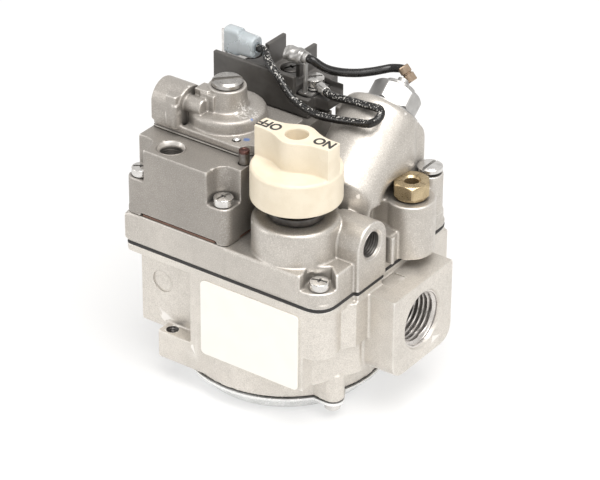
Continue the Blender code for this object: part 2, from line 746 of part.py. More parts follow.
def lower_body():
    body = slab("lower_body", plate_outline(), Z_LOWER_TOP - LOWER_FLANGE, Z_LOWER_TOP)
    under = Z_LOWER_TOP - LOWER_FLANGE / 2
    core_low = Z_LOWER + CORE_BOTTOM
    core = [(CORE_LEFT, CORE_FRONT), (PANEL_RIGHT, CORE_FRONT), (CORE_RIGHT, CORE_CORNER_BACK),
            (CORE_RIGHT, CORE_BACK), (CORE_LEFT, CORE_BACK)]
    join(body, slab("core", core, core_low, under))
    behind = CORE_FRONT + ROOT
    panel_low = Z_LOWER + PANEL_BOTTOM
    panel = box("panel", (PANEL_LEFT, PLATE_FRONT, panel_low), (PANEL_RIGHT - FACE_GAP, behind, under))
    join(body, panel)
    foot_top = Z_LOWER + FOOT_HEIGHT
    foot = box("foot", (FOOT_LEFT, PLATE_FRONT, Z_LOWER), (FOOT_RIGHT, behind + ROOT, foot_top))
    join(body, foot)
    join(body, rod("skirt", (0, 0, Z_LOWER), UP, SKIRT_HEIGHT, SKIRT_RADIUS, sides=48))
    near, far = PORT_AXIS_BACK - PORT_BLOCK_WIDTH / 2, PORT_AXIS_BACK + PORT_BLOCK_WIDTH / 2
    drop, rise = Z_PORT - PORT_BLOCK_DROP, under - FACE_GAP
    port = rounded([(near, drop, PORT_BLOCK_ROUND), (far, drop, PORT_BLOCK_ROUND),
                    (far, rise, 0.0), (near, rise, 0.0)])
    join(body, slab("outlet_block", port, CORE_RIGHT - ROOT, OUTLET_FACE, ALONG_X))
    join(body, slab("inlet_block", port, INLET_FACE, CORE_LEFT + ROOT, ALONG_X))
    column_front, column_back = TAP_Y - TAP_COLUMN_HALF, TAP_Y + TAP_COLUMN_HALF
    column_face = TAP_FACE - 2 * FACE_GAP
    column = rounded([(PANEL_RIGHT, column_front, 0.0), (column_face, column_front, TAP_COLUMN_ROUND),
                      (column_face, column_back, TAP_COLUMN_ROUND), (PANEL_RIGHT, column_back, 0.0)])
    join(body, slab("tap_column", column, Z_LOWER_TOP - TAP_COLUMN_DROP, under))
    for i, y in enumerate((PLATE_FRONT + PLATE_CORNER, PLATE_BACK - PLATE_CORNER)):
        base = (PLATE_RIGHT - PLATE_CORNER, y, Z_LOWER_TOP - LOBE_DEPTH)
        join(body, rod(f"lobe_{i}", base, UP, LOBE_DEPTH - LOWER_FLANGE / 2, LOBE_RADIUS, sides=32))
    for i, (x, y) in enumerate(pan_screw_places()):
        join(body, rod(f"lug_{i}", (x, y, Z_LOWER), UP, SKIRT_HEIGHT, EAR_RADIUS, sides=16))
    hole(body, "diaphragm_well", (0, 0, Z_LOWER), UP, DIAPHRAGM_WELL_DEPTH, DIAPHRAGM_WELL_RADIUS, 40)
    ports = [("outlet", OUTLET_FACE, RIGHT, OUTLET_WAY_END), ("inlet", INLET_FACE, -RIGHT, INLET_WELL_X)]
    for label, face, outward, end in ports:
        steps = [(PORT_BORE_RADIUS, PORT_BORE_DEPTH), (PASSAGE_RADIUS, abs(end - face))]
        mouthed_bore(body, f"{label}_bore", (face, PORT_AXIS_BACK, Z_PORT), outward, PORT_RIM_RADIUS,
                     PORT_CHAMFER, steps)
    top = Z_LOWER_TOP
    hole(body, "inlet_well", (INLET_WELL_X, PORT_AXIS_BACK, top), -UP, top - Z_PORT, INLET_WELL_RADIUS, 24)
    hole(body, "valve_well", (0, 0, top), -UP, VALVE_WELL_DEPTH, VALVE_WELL_RADIUS, 32)
    hole(body, "valve_seat", (0, 0, top), -UP, top - Z_PORT, VALVE_SEAT_RADIUS, 24)
    hole(body, "stem_guide", (0, 0, Z_LOWER), UP, PORT_AXIS_HEIGHT, MAIN_STEM_RADIUS + RUN_GAP, 16)
    for i, (x, y) in enumerate(body_screw_places()):
        reach = BODY_SCREW_LENGTH - (Z_BODY_SCREW_SEAT - top) + ROOT
        hole(body, f"body_screw_hole_{i}", (x, y, top), -UP, reach, SCREW_RADIUS + HOLE_GAP)
    for i, (x, y) in enumerate(pan_screw_places()):
        hole(body, f"pan_screw_hole_{i}", (x, y, Z_LOWER), UP, SKIRT_HEIGHT - ROOT, SCREW_RADIUS + HOLE_GAP)
    hole(body, "foot_hole", (*FOOT_HOLE, foot_top), -UP, FOOT_HEIGHT - ROOT, FOOT_HOLE_RADIUS)
    return dress(body, aluminium())


def bottom_cover():
    top, wall = PAN_DEPTH, PAN_WALL_RADIUS
    profile = [(0.0, PAN_SHEET), (PAN_FLOOR_RADIUS - PAN_SHEET, PAN_SHEET), (wall - PAN_SHEET, top),
               (PAN_RIM_RADIUS, top), (PAN_RIM_RADIUS, top - PAN_SHEET), (wall, top - PAN_SHEET),
               (PAN_FLOOR_RADIUS, 0.0), (0.0, 0.0)]
    pan = turned("bottom_cover", profile, sides=40)
    for i, (x, y) in enumerate(pan_screw_places()):
        ear = rod(f"ear_{i}", (x, y, top - PAN_SHEET), UP, PAN_SHEET, EAR_RADIUS, sides=16)
        join(pan, ear)
    for i, (x, y) in enumerate(pan_screw_places()):
        hole(pan, f"ear_hole_{i}", (x, y, top), -UP, PAN_SHEET + ROOT, SCREW_RADIUS + HOLE_GAP)
    return dress(pan, zinc_steel())


def disc(name, low, thick, radius, bore, sides=32, place=(0, 0)):
    """A flat ring."""
    profile = [(bore, low + thick), (radius, low + thick), (radius, low), (bore, low)]
    return turned(name, profile, (*place, 0), sides=sides)


def main_valve():
    sheet_low = PAN_DEPTH + FACE_GAP
    sheet = rod("main_diaphragm", (0, 0, sheet_low), UP, DIAPHRAGM_SHEET, DIAPHRAGM_RADIUS, sides=48)
    dress(sheet, rubber())
    plate_low = sheet_low + DIAPHRAGM_SHEET + FACE_GAP
    plate = rod("diaphragm_plate", (0, 0, plate_low), UP, DIAPHRAGM_PLATE_THICK, DIAPHRAGM_PLATE_RADIUS,
                sides=32)
    dress(plate, zinc_steel())
    foot = plate_low + DIAPHRAGM_PLATE_THICK + FACE_GAP
    disc_low = Z_MAIN_SEAT + FACE_GAP
    disc_top = disc_low + MAIN_DISC_THICK
    profile = [(0.0, disc_top), (MAIN_DISC_RADIUS, disc_top), (MAIN_DISC_RADIUS, disc_low),
               (MAIN_STEM_RADIUS, disc_low), (MAIN_STEM_RADIUS, foot), (0.0, foot)]
    valve = dress(turned("main_valve", profile), rubber())
    spring_low = disc_top + FACE_GAP
    spring_length = Z_PLATE - FACE_GAP - spring_low
    spring = coil("main_valve_spring", (0, 0, spring_low), UP, spring_length, MAIN_SPRING_RADIUS,
                  MAIN_SPRING_WIRE, MAIN_SPRING_TURNS)
    dress(spring, spring_steel())
    carry([plate, valve], "main_valve_lift", (0, 0, disc_low))


def body_gasket():
    low = Z_LOWER_TOP + FACE_GAP
    gasket = slab("body_gasket", plate_outline(), low, low + GASKET_THICK)
    high, depth = low + GASKET_THICK, GASKET_THICK + ROOT
    hole(gasket, "inlet_well", (INLET_WELL_X, PORT_AXIS_BACK, high), -UP, depth, INLET_WELL_RADIUS, 24)
    hole(gasket, "valve_well", (0, 0, high), -UP, depth, VALVE_WELL_RADIUS, 32)
    for i, (x, y) in enumerate(body_screw_places()):
        hole(gasket, f"screw_{i}", (x, y, high), -UP, depth, SCREW_RADIUS + HOLE_GAP)
    return dress(gasket, rubber())


def tower_hull():
    """The tilted magnet tower with the casting that fills the space under it down to the plate."""
    flat = TOWER_RADIUS - TOWER_ROUND
    end = arc((flat, -TOWER_ROUND), TOWER_ROUND, math.pi / 2, 0.0, 4)
    profile = [(0.0, 0.0)] + end + [(TOWER_RADIUS, -TOWER_LENGTH), (0.0, -TOWER_LENGTH)]
    shell = turned("tower", profile, TOWER_END, TOWER_AXIS, sides=32)
    bm = bmesh.new()
    base = Z_PLATE_TOP - ROOT
    for vert in shell.data.vertices:
        bm.verts.new(vert.co)
        bm.verts.new((vert.co.x, vert.co.y, base))
    bpy.data.objects.remove(shell, do_unlink=True)
    hull = bmesh.ops.convex_hull(bm, input=bm.verts)
    bmesh.ops.delete(bm, geom=list({*hull["geom_interior"], *hull["geom_unused"]}), context="VERTS")
    return from_bmesh("tower_casting", bm)


def upper_body():
    body = slab("upper_body", plate_outline(), Z_PLATE, Z_PLATE_TOP)
    root = Z_PLATE_TOP - ROOT
    top = Z_COCK_BOSS_TOP
    round_centre = (COCK_BOSS_RADIUS - COCK_BOSS_ROUND, top - COCK_BOSS_ROUND)
    edge = arc(round_centre, COCK_BOSS_ROUND, math.pi / 2, 0.0, 4)
    boss = turned("cock_boss", [(0.0, top)] + edge + [(COCK_BOSS_RADIUS, root), (0.0, root)],
                  (KNOB_X, KNOB_Y, 0), sides=48)
    tower = tower_hull()
    room = Z_GRIP_TOP - Z_PLATE_TOP
    cut(tower, rod("knob_room", (KNOB_X, KNOB_Y, top), UP, room, KNOB_RADIUS + ROOT, sides=48))
    nut_corner = PILOT_NUT_FLATS / math.sqrt(3.0)
    cut(tower, rod("pilot_room", (PILOT_X, PILOT_Y, Z_PILOT_TOP), UP, room, nut_corner + ROOT))
    cut(tower, rod("needle_room", (NEEDLE_X, NEEDLE_Y, Z_NEEDLE_TOP), UP, room, NEEDLE_HEAD_RADIUS + ROOT))
    join(body, boss, tower)
    outline = arch(TAP_Y, Z_TAP, TAP_RADIUS, Z_PLATE + FACE_GAP)
    join(body, slab("tap_arch", outline, TAP_INNER_END, TAP_FACE, ALONG_X))
    pilot_low = Z_PLATE + FACE_GAP
    pilot = rod("pilot_boss", (PILOT_X, PILOT_Y, pilot_low), UP, Z_PILOT_TOP - pilot_low,
                PILOT_BOSS_RADIUS, sides=32)
    web_front = PILOT_Y - PILOT_BOSS_RADIUS + FACE_GAP
    web = box("pilot_web", (WEB_LEFT, web_front, root), (PILOT_X, WEB_BACK, Z_PILOT_TOP - FACE_GAP))
    needle = rod("needle_boss", (NEEDLE_X, NEEDLE_Y, root), UP, Z_NEEDLE_TOP - root, NEEDLE_BOSS_RADIUS)
    join(body, pilot, web, needle)
    hole(body, "plug_bore", (KNOB_X, KNOB_Y, Z_PLATE), UP, PLUG_LIFT + PLUG_HEIGHT + FACE_GAP,
         PLUG_FOOT_RADIUS + RUN_GAP, 32)
    hole(body, "neck_bore", (KNOB_X, KNOB_Y, top), -UP, top - Z_PLATE, BUSH_SPIGOT_RADIUS + HOLE_GAP, 24)
    hole(body, "tower_bore", TOWER_END, -TOWER_AXIS, TOWER_BORE_DEPTH, TOWER_BORE_RADIUS, 32)
    hole(body, "safety_way", (TOWER_X, SAFETY_WAY_Y, Z_PLATE), UP, Z_PLATE_TOP - Z_PLATE + ROOT * 8,
         SAFETY_WAY_RADIUS, 20)
    tap_base = (TAP_FACE, TAP_Y, Z_TAP)
    mouthed_bore(body, "tap_bore", tap_base, RIGHT, TAP_RIM_RADIUS, TAP_RIM_RADIUS - TAP_BORE_RADIUS,
                 [(TAP_BORE_RADIUS, TAP_BORE_DEPTH)], 28)
    pilot_depth = PILOT_SPIGOT_LENGTH + FERRULE_HEIGHT + FACE_GAP
    hole(body, "pilot_bore", (PILOT_X, PILOT_Y, Z_PILOT_TOP), -UP, pilot_depth,
         PILOT_SPIGOT_RADIUS + HOLE_GAP, 20)
    hole(body, "needle_bore", (NEEDLE_X, NEEDLE_Y, Z_NEEDLE_TOP), -UP, NEEDLE_LENGTH + ROOT,
         NEEDLE_RADIUS + RUN_GAP, 16)
    ways(body)
    high = Z_PLATE_TOP + ROOT - Z_BODY_SCREW_SEAT
    for i, (x, y) in enumerate(body_screw_places()):
        seat = (x, y, Z_BODY_SCREW_SEAT)
        if x > 0.0:
            out = Matrix.Rotation(math.copysign(math.pi / 4, y), 4, "Z")
            pocket = slab(f"screw_pocket_{i}", pocket_outline(), 0.0, high, Matrix.Translation(seat) @ out)
        else:
            pocket = rod(f"screw_pocket_{i}", seat, UP, high, BODY_SCREW_POCKET_RADIUS)
        cut(body, pocket)
        hole(body, f"screw_{i}", seat, -UP, BODY_SCREW_SEAT + ROOT, SCREW_RADIUS + HOLE_GAP)
    for i, (x, y) in enumerate(block_screw_places()):
        reach = BLOCK_SCREW_LENGTH - (Z_LEDGE - Z_PLATE_TOP) + ROOT
        hole(body, f"block_screw_{i}", (x, y, Z_PLATE_TOP), -UP, reach, SCREW_RADIUS + HOLE_GAP)
    return dress(body, aluminium())


def pocket_outline():
    """A corner screw's pocket, open along its own +X."""
    radius = BODY_SCREW_POCKET_RADIUS
    end = 2 * BODY_SCREW_INSET
    return arc((0.0, 0.0), radius, math.pi / 2, 3 * math.pi / 2, 10) + [(end, -radius), (end, radius)]


def ways(body):
    """The gas ways cast into the underside: inlet to cock, and safety valve to main valve."""
    low, high = Z_PLATE - ROOT, Z_PLATE + GAS_WAY_DEPTH
    reach = SAFETY_WAY_RADIUS
    wide = INLET_WELL_X - reach
    far = (INLET_WELL_X + reach, PORT_AXIS_BACK + reach, high)
    cut(body, box("inlet_way", (wide, KNOB_Y - reach, low), far))
    cut(body, box("cock_way", (wide, KNOB_Y - reach, low), (KNOB_X, KNOB_Y + reach, high)))
    cut(body, box("valve_way", (-reach, SAFETY_WAY_Y - reach, low), (TOWER_X, SAFETY_WAY_Y + reach, high)))


def pan_head_screw(name, place, seat, length, material, up=True, head=HEAD_RADIUS):
    """A round-headed screw whose head sits on the seat and whose shank runs away from it."""
    side = 1.0 if up else -1.0
    low = FACE_GAP
    top = low + HEAD_HEIGHT
    edge = arc((head - HEAD_HEIGHT / 2, top - HEAD_HEIGHT / 2), HEAD_HEIGHT / 2, math.pi / 2, 0.0, 2)
    shank = [(SCREW_RADIUS, low), (SCREW_RADIUS, -length), (0.0, -length)]
    profile = [(0.0, top)] + edge + [(head, low)] + shank
    return dress(turned(name, profile, (*place, seat), UP * side, sides=12), material)


def regulator_block():
    outline = [(BLOCK_LEFT, BLOCK_FRONT), (BLOCK_RIGHT, BLOCK_FRONT),
               (BLOCK_RIGHT, BLOCK_BACK), (BLOCK_LEFT, BLOCK_BACK)]
    rim = rectangle(BLOCK_LEFT, BLOCK_FRONT, BLOCK_RIGHT, BLOCK_BACK, BLOCK_CORNER)
    block = slab("regulator_block", rim, Z_BLOCK, Z_BLOCK_TOP)
    for i, (x, y) in enumerate(outline):
        inward = (1 if x == BLOCK_LEFT else -1, 1 if y == BLOCK_FRONT else -1)
        out_x, out_y = x - inward[0] * ROOT, y - inward[1] * ROOT
        in_x, in_y = x + inward[0] * NOTCH_SIZE, y + inward[1] * NOTCH_SIZE
        notch = rounded([(out_x, out_y, 0.0), (in_x, out_y, 0.0),
                         (in_x, in_y, NOTCH_ROUND), (out_x, in_y, 0.0)])
        cut(block, slab(f"notch_{i}", notch, Z_LEDGE, Z_BLOCK_TOP + ROOT))
    for i, (x, y) in enumerate(block_screw_places()):
        hole(block, f"screw_{i}", (x, y, Z_LEDGE), -UP, LEDGE_HEIGHT + ROOT, SCREW_RADIUS + HOLE_GAP)
    wall, end = BLOCK_WALL, BLOCK_END_WALL
    inside = box("block_inside", (BLOCK_LEFT + wall, BLOCK_FRONT + end, Z_BLOCK - ROOT),
                 (BLOCK_RIGHT - wall, BLOCK_BACK - end, Z_BLOCK_TOP - BLOCK_ROOF))
    cut(block, inside)
    hole(block, "servo_well", (SERVO_X, SERVO_Y, Z_BLOCK_TOP), -UP, SERVO_WELL_DEPTH, SERVO_WELL_RADIUS, 32)
    hole(block, "servo_seat", (SERVO_X, SERVO_Y, Z_BLOCK_TOP), -UP, BLOCK_ROOF + ROOT, SCREW_RADIUS)
    mouthed_bore(block, "tapping", (TAPPING_X, TAPPING_Y, Z_BLOCK_TOP), UP, TAPPING_RIM_RADIUS,
                 TAPPING_RIM_RADIUS - TAPPING_RADIUS, [(TAPPING_RADIUS, TAPPING_DEPTH)], 24)
    hole(block, "pin_hole", (PIN_X, PIN_Y, Z_BLOCK_TOP), -UP, PIN_DEPTH + ROOT, PIN_RADIUS + HOLE_GAP)
    for i, (x, y) in enumerate(rivet_places()):
        depth = RIVET_DEPTH - COVER_THICK - SERVO_SHEET
        hole(block, f"rivet_{i}", (x, y, Z_BLOCK_TOP), -UP, depth, RIVET_RADIUS + HOLE_GAP, 12)
    for i, x in enumerate(TERMINAL_MOUNT_SCREW_X):
        reach = TERMINAL_MOUNT_SCREW_LENGTH - TERMINAL_HEIGHT
        place = (x, TERMINAL_MOUNT_SCREW_Y, Z_BLOCK_TOP)
        hole(block, f"terminal_screw_{i}", place, -UP, reach, SCREW_RADIUS + HOLE_GAP)
    return dress(block, dark_aluminium())


def block_gasket():
    low, high = Z_PLATE_TOP + FACE_GAP, Z_BLOCK - FACE_GAP
    outline = rectangle(BLOCK_LEFT, BLOCK_FRONT, BLOCK_RIGHT, BLOCK_BACK, BLOCK_CORNER)
    gasket = slab("block_gasket", outline, low, high)
    wall, end = BLOCK_WALL, BLOCK_END_WALL
    cut(gasket, box("gasket_inside", (BLOCK_LEFT + wall, BLOCK_FRONT + end, low - ROOT),
                    (BLOCK_RIGHT - wall, BLOCK_BACK - end, high + ROOT)))
    for i, (x, y) in enumerate(block_screw_places()):
        hole(gasket, f"screw_{i}", (x, y, high), -UP, high - low + ROOT, SCREW_RADIUS + HOLE_GAP)
    return dress(gasket, fibre())


def cover_outline():
    corners = [(BLOCK_LEFT, COVER_FRONT), (BLOCK_RIGHT - COVER_NOTCH, COVER_FRONT),
               (BLOCK_RIGHT, COVER_FRONT + COVER_NOTCH), (BLOCK_RIGHT, COVER_BACK), (BLOCK_LEFT, COVER_BACK)]
    return rounded([(x, y, COVER_CORNER) for x, y in corners], 3)


def regulator_cover():
    cover = slab("regulator_cover", cover_outline(), Z_COVER, Z_COVER_TOP)
    root = Z_COVER_TOP - ROOT
    centre = (SERVO_X, SERVO_Y, 0)
    edge = arc((DOME_RADIUS - DOME_ROUND, Z_DOME_TOP - DOME_ROUND), DOME_ROUND, math.pi / 2, 0.0, 4)
    top = Z_SPRING_TOWER_TOP
    tower = [(0.0, top), (SPRING_TOWER_TOP_RADIUS, top), (SPRING_TOWER_RADIUS, Z_DOME_TOP)]
    dome = turned("dome", tower + edge + [(DOME_RADIUS, root), (0.0, root)], centre, sides=40)
    vent_y = COVER_FRONT + VENT_RADIUS
    vent_z = Z_COVER_TOP + VENT_SPRING_HEIGHT
    vent_end = BLOCK_LEFT + VENT_LENGTH
    vent = slab("vent", arch(vent_y, vent_z, VENT_RADIUS, root), BLOCK_LEFT, vent_end, ALONG_X)
    rib = rod("vent_rib", (BLOCK_LEFT + VENT_RIB_INSET, COVER_FRONT + FACE_GAP, root), UP,
              VENT_SPRING_HEIGHT + VENT_RADIUS / 2, VENT_RIB_RADIUS, sides=16)
    bridge = box("vent_bridge", (vent_end - ROOT, vent_y, Z_DOME_TOP - ROOT),
                 (SERVO_X, SERVO_Y, Z_SPRING_TOWER_TOP - VENT_RIB_RADIUS))
    join(cover, dome, vent, rib, bridge)
    well = COVER_WELL_DEPTH
    hole(cover, "well", (SERVO_X, SERVO_Y, Z_COVER), UP, well, DOME_RADIUS - 2 * VENT_WALL, 32)
    hole(cover, "spring_bore", (SERVO_X, SERVO_Y, Z_COVER), UP, Z_SPRING_TOWER_TOP - Z_COVER + ROOT,
         CAP_SPIGOT_RADIUS + HOLE_GAP, 24)
    inside = arch(vent_y, vent_z, VENT_RADIUS - VENT_WALL, Z_COVER - ROOT, 8)
    cut(cover, slab("vent_inside", inside, BLOCK_LEFT + VENT_WALL, vent_end - VENT_WALL, ALONG_X))
    for i, (x, y) in enumerate(rivet_places()):
        hole(cover, f"rivet_{i}", (x, y, Z_COVER_TOP), -UP, COVER_THICK + ROOT, RIVET_RADIUS + HOLE_GAP, 12)
    return dress(cover, dark_aluminium())


def regulator_inside():
    low = Z_BLOCK_TOP + FACE_GAP
    sheet = slab("regulator_diaphragm", cover_outline(), low, low + SERVO_SHEET)
    for i, (x, y) in enumerate(rivet_places()):
        place = (x, y, low + SERVO_SHEET)
        hole(sheet, f"rivet_{i}", place, -UP, SERVO_SHEET + ROOT, RIVET_RADIUS + HOLE_GAP)
    dress(sheet, rubber())
    plate_low = low + SERVO_SHEET + FACE_GAP
    centre = (SERVO_X, SERVO_Y)
    plate = rod("servo_plate", (*centre, plate_low), UP, SERVO_PLATE_THICK, SERVO_PLATE_RADIUS)
    dress(plate, zinc_steel())
    carry([plate], "servo_lift", (*centre, plate_low))
    cap_low = Z_SPRING_TOWER_TOP + FACE_GAP
    cap_top = cap_low + CAP_HEIGHT
    spigot_low = cap_low - CAP_SPIGOT_LENGTH
    rim = CAP_HEIGHT / 4
    profile = [(0.0, cap_top), (CAP_RADIUS - rim, cap_top), (CAP_RADIUS, cap_top - rim),
               (CAP_RADIUS, cap_low), (CAP_SPIGOT_RADIUS, cap_low), (CAP_SPIGOT_RADIUS, spigot_low),
               (0.0, spigot_low)]
    cap = turned("regulator_cap", profile, (*centre, 0), sides=32)
    slot(cap, centre, cap_top, CAP_RADIUS, CAP_SLOT_WIDTH, CAP_SLOT_DEPTH, RIGHT)
    dress(cap, zinc_steel())
    screw_low = spigot_low - FACE_GAP - ADJUSTER_THICK
    screw = rod("adjusting_screw", (*centre, screw_low), UP, ADJUSTER_THICK, CAP_SPIGOT_RADIUS, sides=24)
    slot(screw, centre, screw_low + ADJUSTER_THICK, CAP_SPIGOT_RADIUS, CAP_SLOT_WIDTH,
         CAP_SLOT_DEPTH, RIGHT)
    dress(screw, brass())
    spring_low = plate_low + SERVO_PLATE_THICK + FACE_GAP
    spring = coil("regulator_spring", (*centre, spring_low), UP, screw_low - FACE_GAP - spring_low,
                  SERVO_SPRING_RADIUS, SERVO_SPRING_WIRE, SERVO_SPRING_TURNS)
    dress(spring, spring_steel())
    carry([screw], "adjusting_turn", (*centre, screw_low))


def slot(piece, place, top, radius, width, depth, along):
    """A screwdriver slot across a head."""
    size = along * (radius + ROOT) + Vector((-along.y, along.x, 0)) * width / 2
    size = Vector((abs(size.x), abs(size.y), 0))
    low = Vector((*place, top - depth)) - size
    high = Vector((*place, top + ROOT)) + size
    cut(piece, box(f"{piece.name}_slot", low, high))


def cover_fasteners():
    low = Z_BLOCK_TOP - PIN_DEPTH
    pin = rod("sealing_pin", (PIN_X, PIN_Y, low), UP, PIN_DEPTH + PIN_HEIGHT, PIN_RADIUS, sides=20)
    dress(pin, zinc_steel())
    for i, (x, y) in enumerate(rivet_places()):
        seat = Z_COVER_TOP + FACE_GAP
        top = seat + RIVET_HEAD_HEIGHT
        foot = Z_COVER_TOP - RIVET_DEPTH
        profile = [(0.0, top), (RIVET_RADIUS, top), (RIVET_HEAD_RADIUS, seat), (RIVET_RADIUS, seat),
                   (RIVET_RADIUS, foot), (0.0, foot)]
        dress(turned(f"cover_rivet_{i + 1}", profile, (x, y, 0), sides=12), zinc_steel())


def grip_outline():
    """The grip from above: a bar across the skirt that swells round its middle."""
    reach = KNOB_RADIUS - FACE_GAP
    steps = 12
    side = []
    for i in range(steps + 1):
        x = reach * math.cos(math.pi * i / steps)
        swell = math.exp(-(x / GRIP_SWELL_REACH) ** 2)
        half = GRIP_HALF_WIDTH + (GRIP_SWELL_RADIUS - GRIP_HALF_WIDTH) * swell
        limit = math.sqrt(max(0.0, reach * reach - x * x))
        side.append((x, min(half, limit)))
    end = math.sqrt(reach * reach - GRIP_HALF_WIDTH * GRIP_HALF_WIDTH) - FACE_GAP
    side = [(end, GRIP_HALF_WIDTH)] + [p for p in side if abs(p[0]) < end] + [(-end, GRIP_HALF_WIDTH)]
    far = [(-reach, 0.0)] + [(x, -y) for x, y in reversed(side)] + [(reach, 0.0)]
    return [(KNOB_X + x, KNOB_Y + y) for x, y in side + far]


def knob_and_stem():
    axis = (KNOB_X, KNOB_Y, 0)
    inner = KNOB_RADIUS - KNOB_WALL
    roof = Z_SKIRT_TOP - KNOB_ROOF
    hub_low = roof - KNOB_HUB_DROP
    stem_hole = STEM_RADIUS + HOLE_GAP
    stem_top = Z_SKIRT_TOP - FACE_GAP
    edge = FACE_GAP * 2
    profile = [(0.0, Z_SKIRT_TOP), (KNOB_RADIUS - edge, Z_SKIRT_TOP), (KNOB_RADIUS, Z_SKIRT_TOP - edge),
               (KNOB_RADIUS, Z_KNOB), (inner, Z_KNOB), (inner, roof), (KNOB_HUB_RADIUS, roof),
               (KNOB_HUB_RADIUS, hub_low), (0.0, hub_low)]
    knob = turned("control_knob", profile, axis, sides=48)
    join(knob, slab("grip", grip_outline(), roof + ROOT, Z_GRIP_TOP))
    hole(knob, "grip_hole", (KNOB_X, KNOB_Y, Z_GRIP_TOP), -UP, GRIP_HOLE_DEPTH, GRIP_HOLE_RADIUS, 24)
    hole(knob, "stem_hole", (KNOB_X, KNOB_Y, hub_low), UP, stem_top + FACE_GAP - hub_low, stem_hole, 20)
    dress(knob, cream_plastic())
    plug_low = Z_PLATE + PLUG_LIFT
    plug_top = plug_low + PLUG_HEIGHT
    stem_low = plug_top - STEM_REACH
    stem = rod("knob_stem", (KNOB_X, KNOB_Y, stem_low), UP, stem_top - stem_low, STEM_RADIUS, sides=20)
    dress(stem, zinc_steel())
    bore = STEM_RADIUS + RUN_GAP
    profile = [(bore, plug_top), (PLUG_TOP_RADIUS, plug_top), (PLUG_FOOT_RADIUS, plug_low), (bore, plug_low)]
    plug = turned("cock_plug", profile, axis, sides=32)
    hole(plug, "port", (KNOB_X, KNOB_Y + PLUG_FOOT_RADIUS, plug_low + PLUG_HEIGHT / 2), -BACK,
         PLUG_FOOT_RADIUS, PLUG_PORT_RADIUS)
    dress(plug, brass())
    flange_top = Z_BUSH + BUSH_FLANGE_THICK
    spigot_low = plug_top + FACE_GAP
    profile = [(bore, Z_BUSH_TOP), (BUSH_COLLAR_RADIUS, Z_BUSH_TOP), (BUSH_COLLAR_RADIUS, flange_top),
               (BUSH_FLANGE_RADIUS, flange_top), (BUSH_FLANGE_RADIUS, Z_BUSH), (BUSH_SPIGOT_RADIUS, Z_BUSH),
               (BUSH_SPIGOT_RADIUS, spigot_low), (bore, spigot_low)]
    dress(turned("stem_bushing", profile, axis, sides=28), zinc_steel())
    spring_low = Z_BUSH_TOP + FACE_GAP
    spring = coil("stem_spring", (KNOB_X, KNOB_Y, spring_low), UP, hub_low - FACE_GAP - spring_low,
                  (STEM_RADIUS + KNOB_HUB_RADIUS) / 2, STEM_SPRING_WIRE, STEM_SPRING_TURNS)
    dress(spring, spring_steel())
    turn = carry([plug], "cock_turn", (KNOB_X, KNOB_Y, plug_low))
    push = carry([knob, stem], "knob_push", (KNOB_X, KNOB_Y, Z_KNOB))
    push.parent = turn
    push.matrix_parent_inverse = turn.matrix_world.inverted()


def on_tower(height):
    """The point of the tower's axis at a height above its end face."""
    return TOWER_END + TOWER_AXIS * height


def magnet_unit():
    washer_low = on_tower(FACE_GAP)
    spigot = TOWER_BORE_RADIUS - HOLE_GAP
    bore = spigot + HOLE_GAP
    profile = [(bore, WASHER_THICK), (WASHER_RADIUS, WASHER_THICK), (WASHER_RADIUS, 0.0), (bore, 0.0)]
    dress(turned("magnet_washer", profile, washer_low, TOWER_AXIS, sides=28), zinc_steel())
    nut_low = WASHER_THICK + 2 * FACE_GAP
    nut = hexagon("magnet_nut", on_tower(nut_low), TOWER_AXIS, MAGNET_NUT_HEIGHT, MAGNET_NUT_FLATS)
    stub_low = -MAGNET_SPIGOT_LENGTH
    stub = rod("magnet_spigot", on_tower(stub_low), TOWER_AXIS, nut_low - stub_low + ROOT, spigot, sides=28)
    join(nut, stub)
    dress(nut, chrome())
    core_low = stub_low - FACE_GAP - CORE_LENGTH
    core = rod("magnet_core", on_tower(core_low), TOWER_AXIS, CORE_LENGTH, CORE_RADIUS, sides=20)
    dress(core, spring_steel())
    poppet_top = core_low - FACE_GAP - POPPET_LIFT
    poppet = rod("safety_poppet", on_tower(poppet_top - POPPET_THICK), TOWER_AXIS, POPPET_THICK,
                 POPPET_RADIUS, sides=20)
    dress(poppet, rubber())
    carry([poppet], "safety_lift", on_tower(poppet_top))
    spring_low = poppet_top + FACE_GAP
    spring_length = stub_low - FACE_GAP - spring_low
    spring = coil("safety_spring", on_tower(spring_low), TOWER_AXIS, spring_length,
                  CORE_RADIUS + RUN_GAP + POPPET_SPRING_WIRE, POPPET_SPRING_WIRE, POPPET_SPRING_TURNS)
    dress(spring, spring_steel())


def pilot_fitting():
    collar_low = Z_PILOT_TOP + FACE_GAP
    hex_low = collar_low + PILOT_COLLAR_HEIGHT
    spigot_low = collar_low - PILOT_SPIGOT_LENGTH
    base = (PILOT_X, PILOT_Y, hex_low)
    nut = hexagon("pilot_nut", base, UP, PILOT_NUT_HEIGHT, PILOT_NUT_FLATS, PILOT_NUT_TURN)
    profile = [(0.0, hex_low + ROOT), (PILOT_COLLAR_RADIUS, hex_low + ROOT),
               (PILOT_COLLAR_RADIUS, collar_low), (PILOT_SPIGOT_RADIUS, collar_low),
               (PILOT_SPIGOT_RADIUS, spigot_low), (0.0, spigot_low)]
    join(nut, turned("pilot_collar", profile, (PILOT_X, PILOT_Y, 0)))
    nut_top = hex_low + PILOT_NUT_HEIGHT
    hole(nut, "tube", (PILOT_X, PILOT_Y, nut_top), -UP, nut_top - spigot_low + ROOT, PILOT_TUBE_RADIUS, 20)
    dress(nut, brass())
    ferrule_low = spigot_low - FACE_GAP - FERRULE_HEIGHT
    ferrule = disc("pilot_ferrule", ferrule_low, FERRULE_HEIGHT, PILOT_SPIGOT_RADIUS, PILOT_TUBE_RADIUS, 20,
                   (PILOT_X, PILOT_Y))
    dress(ferrule, brass())


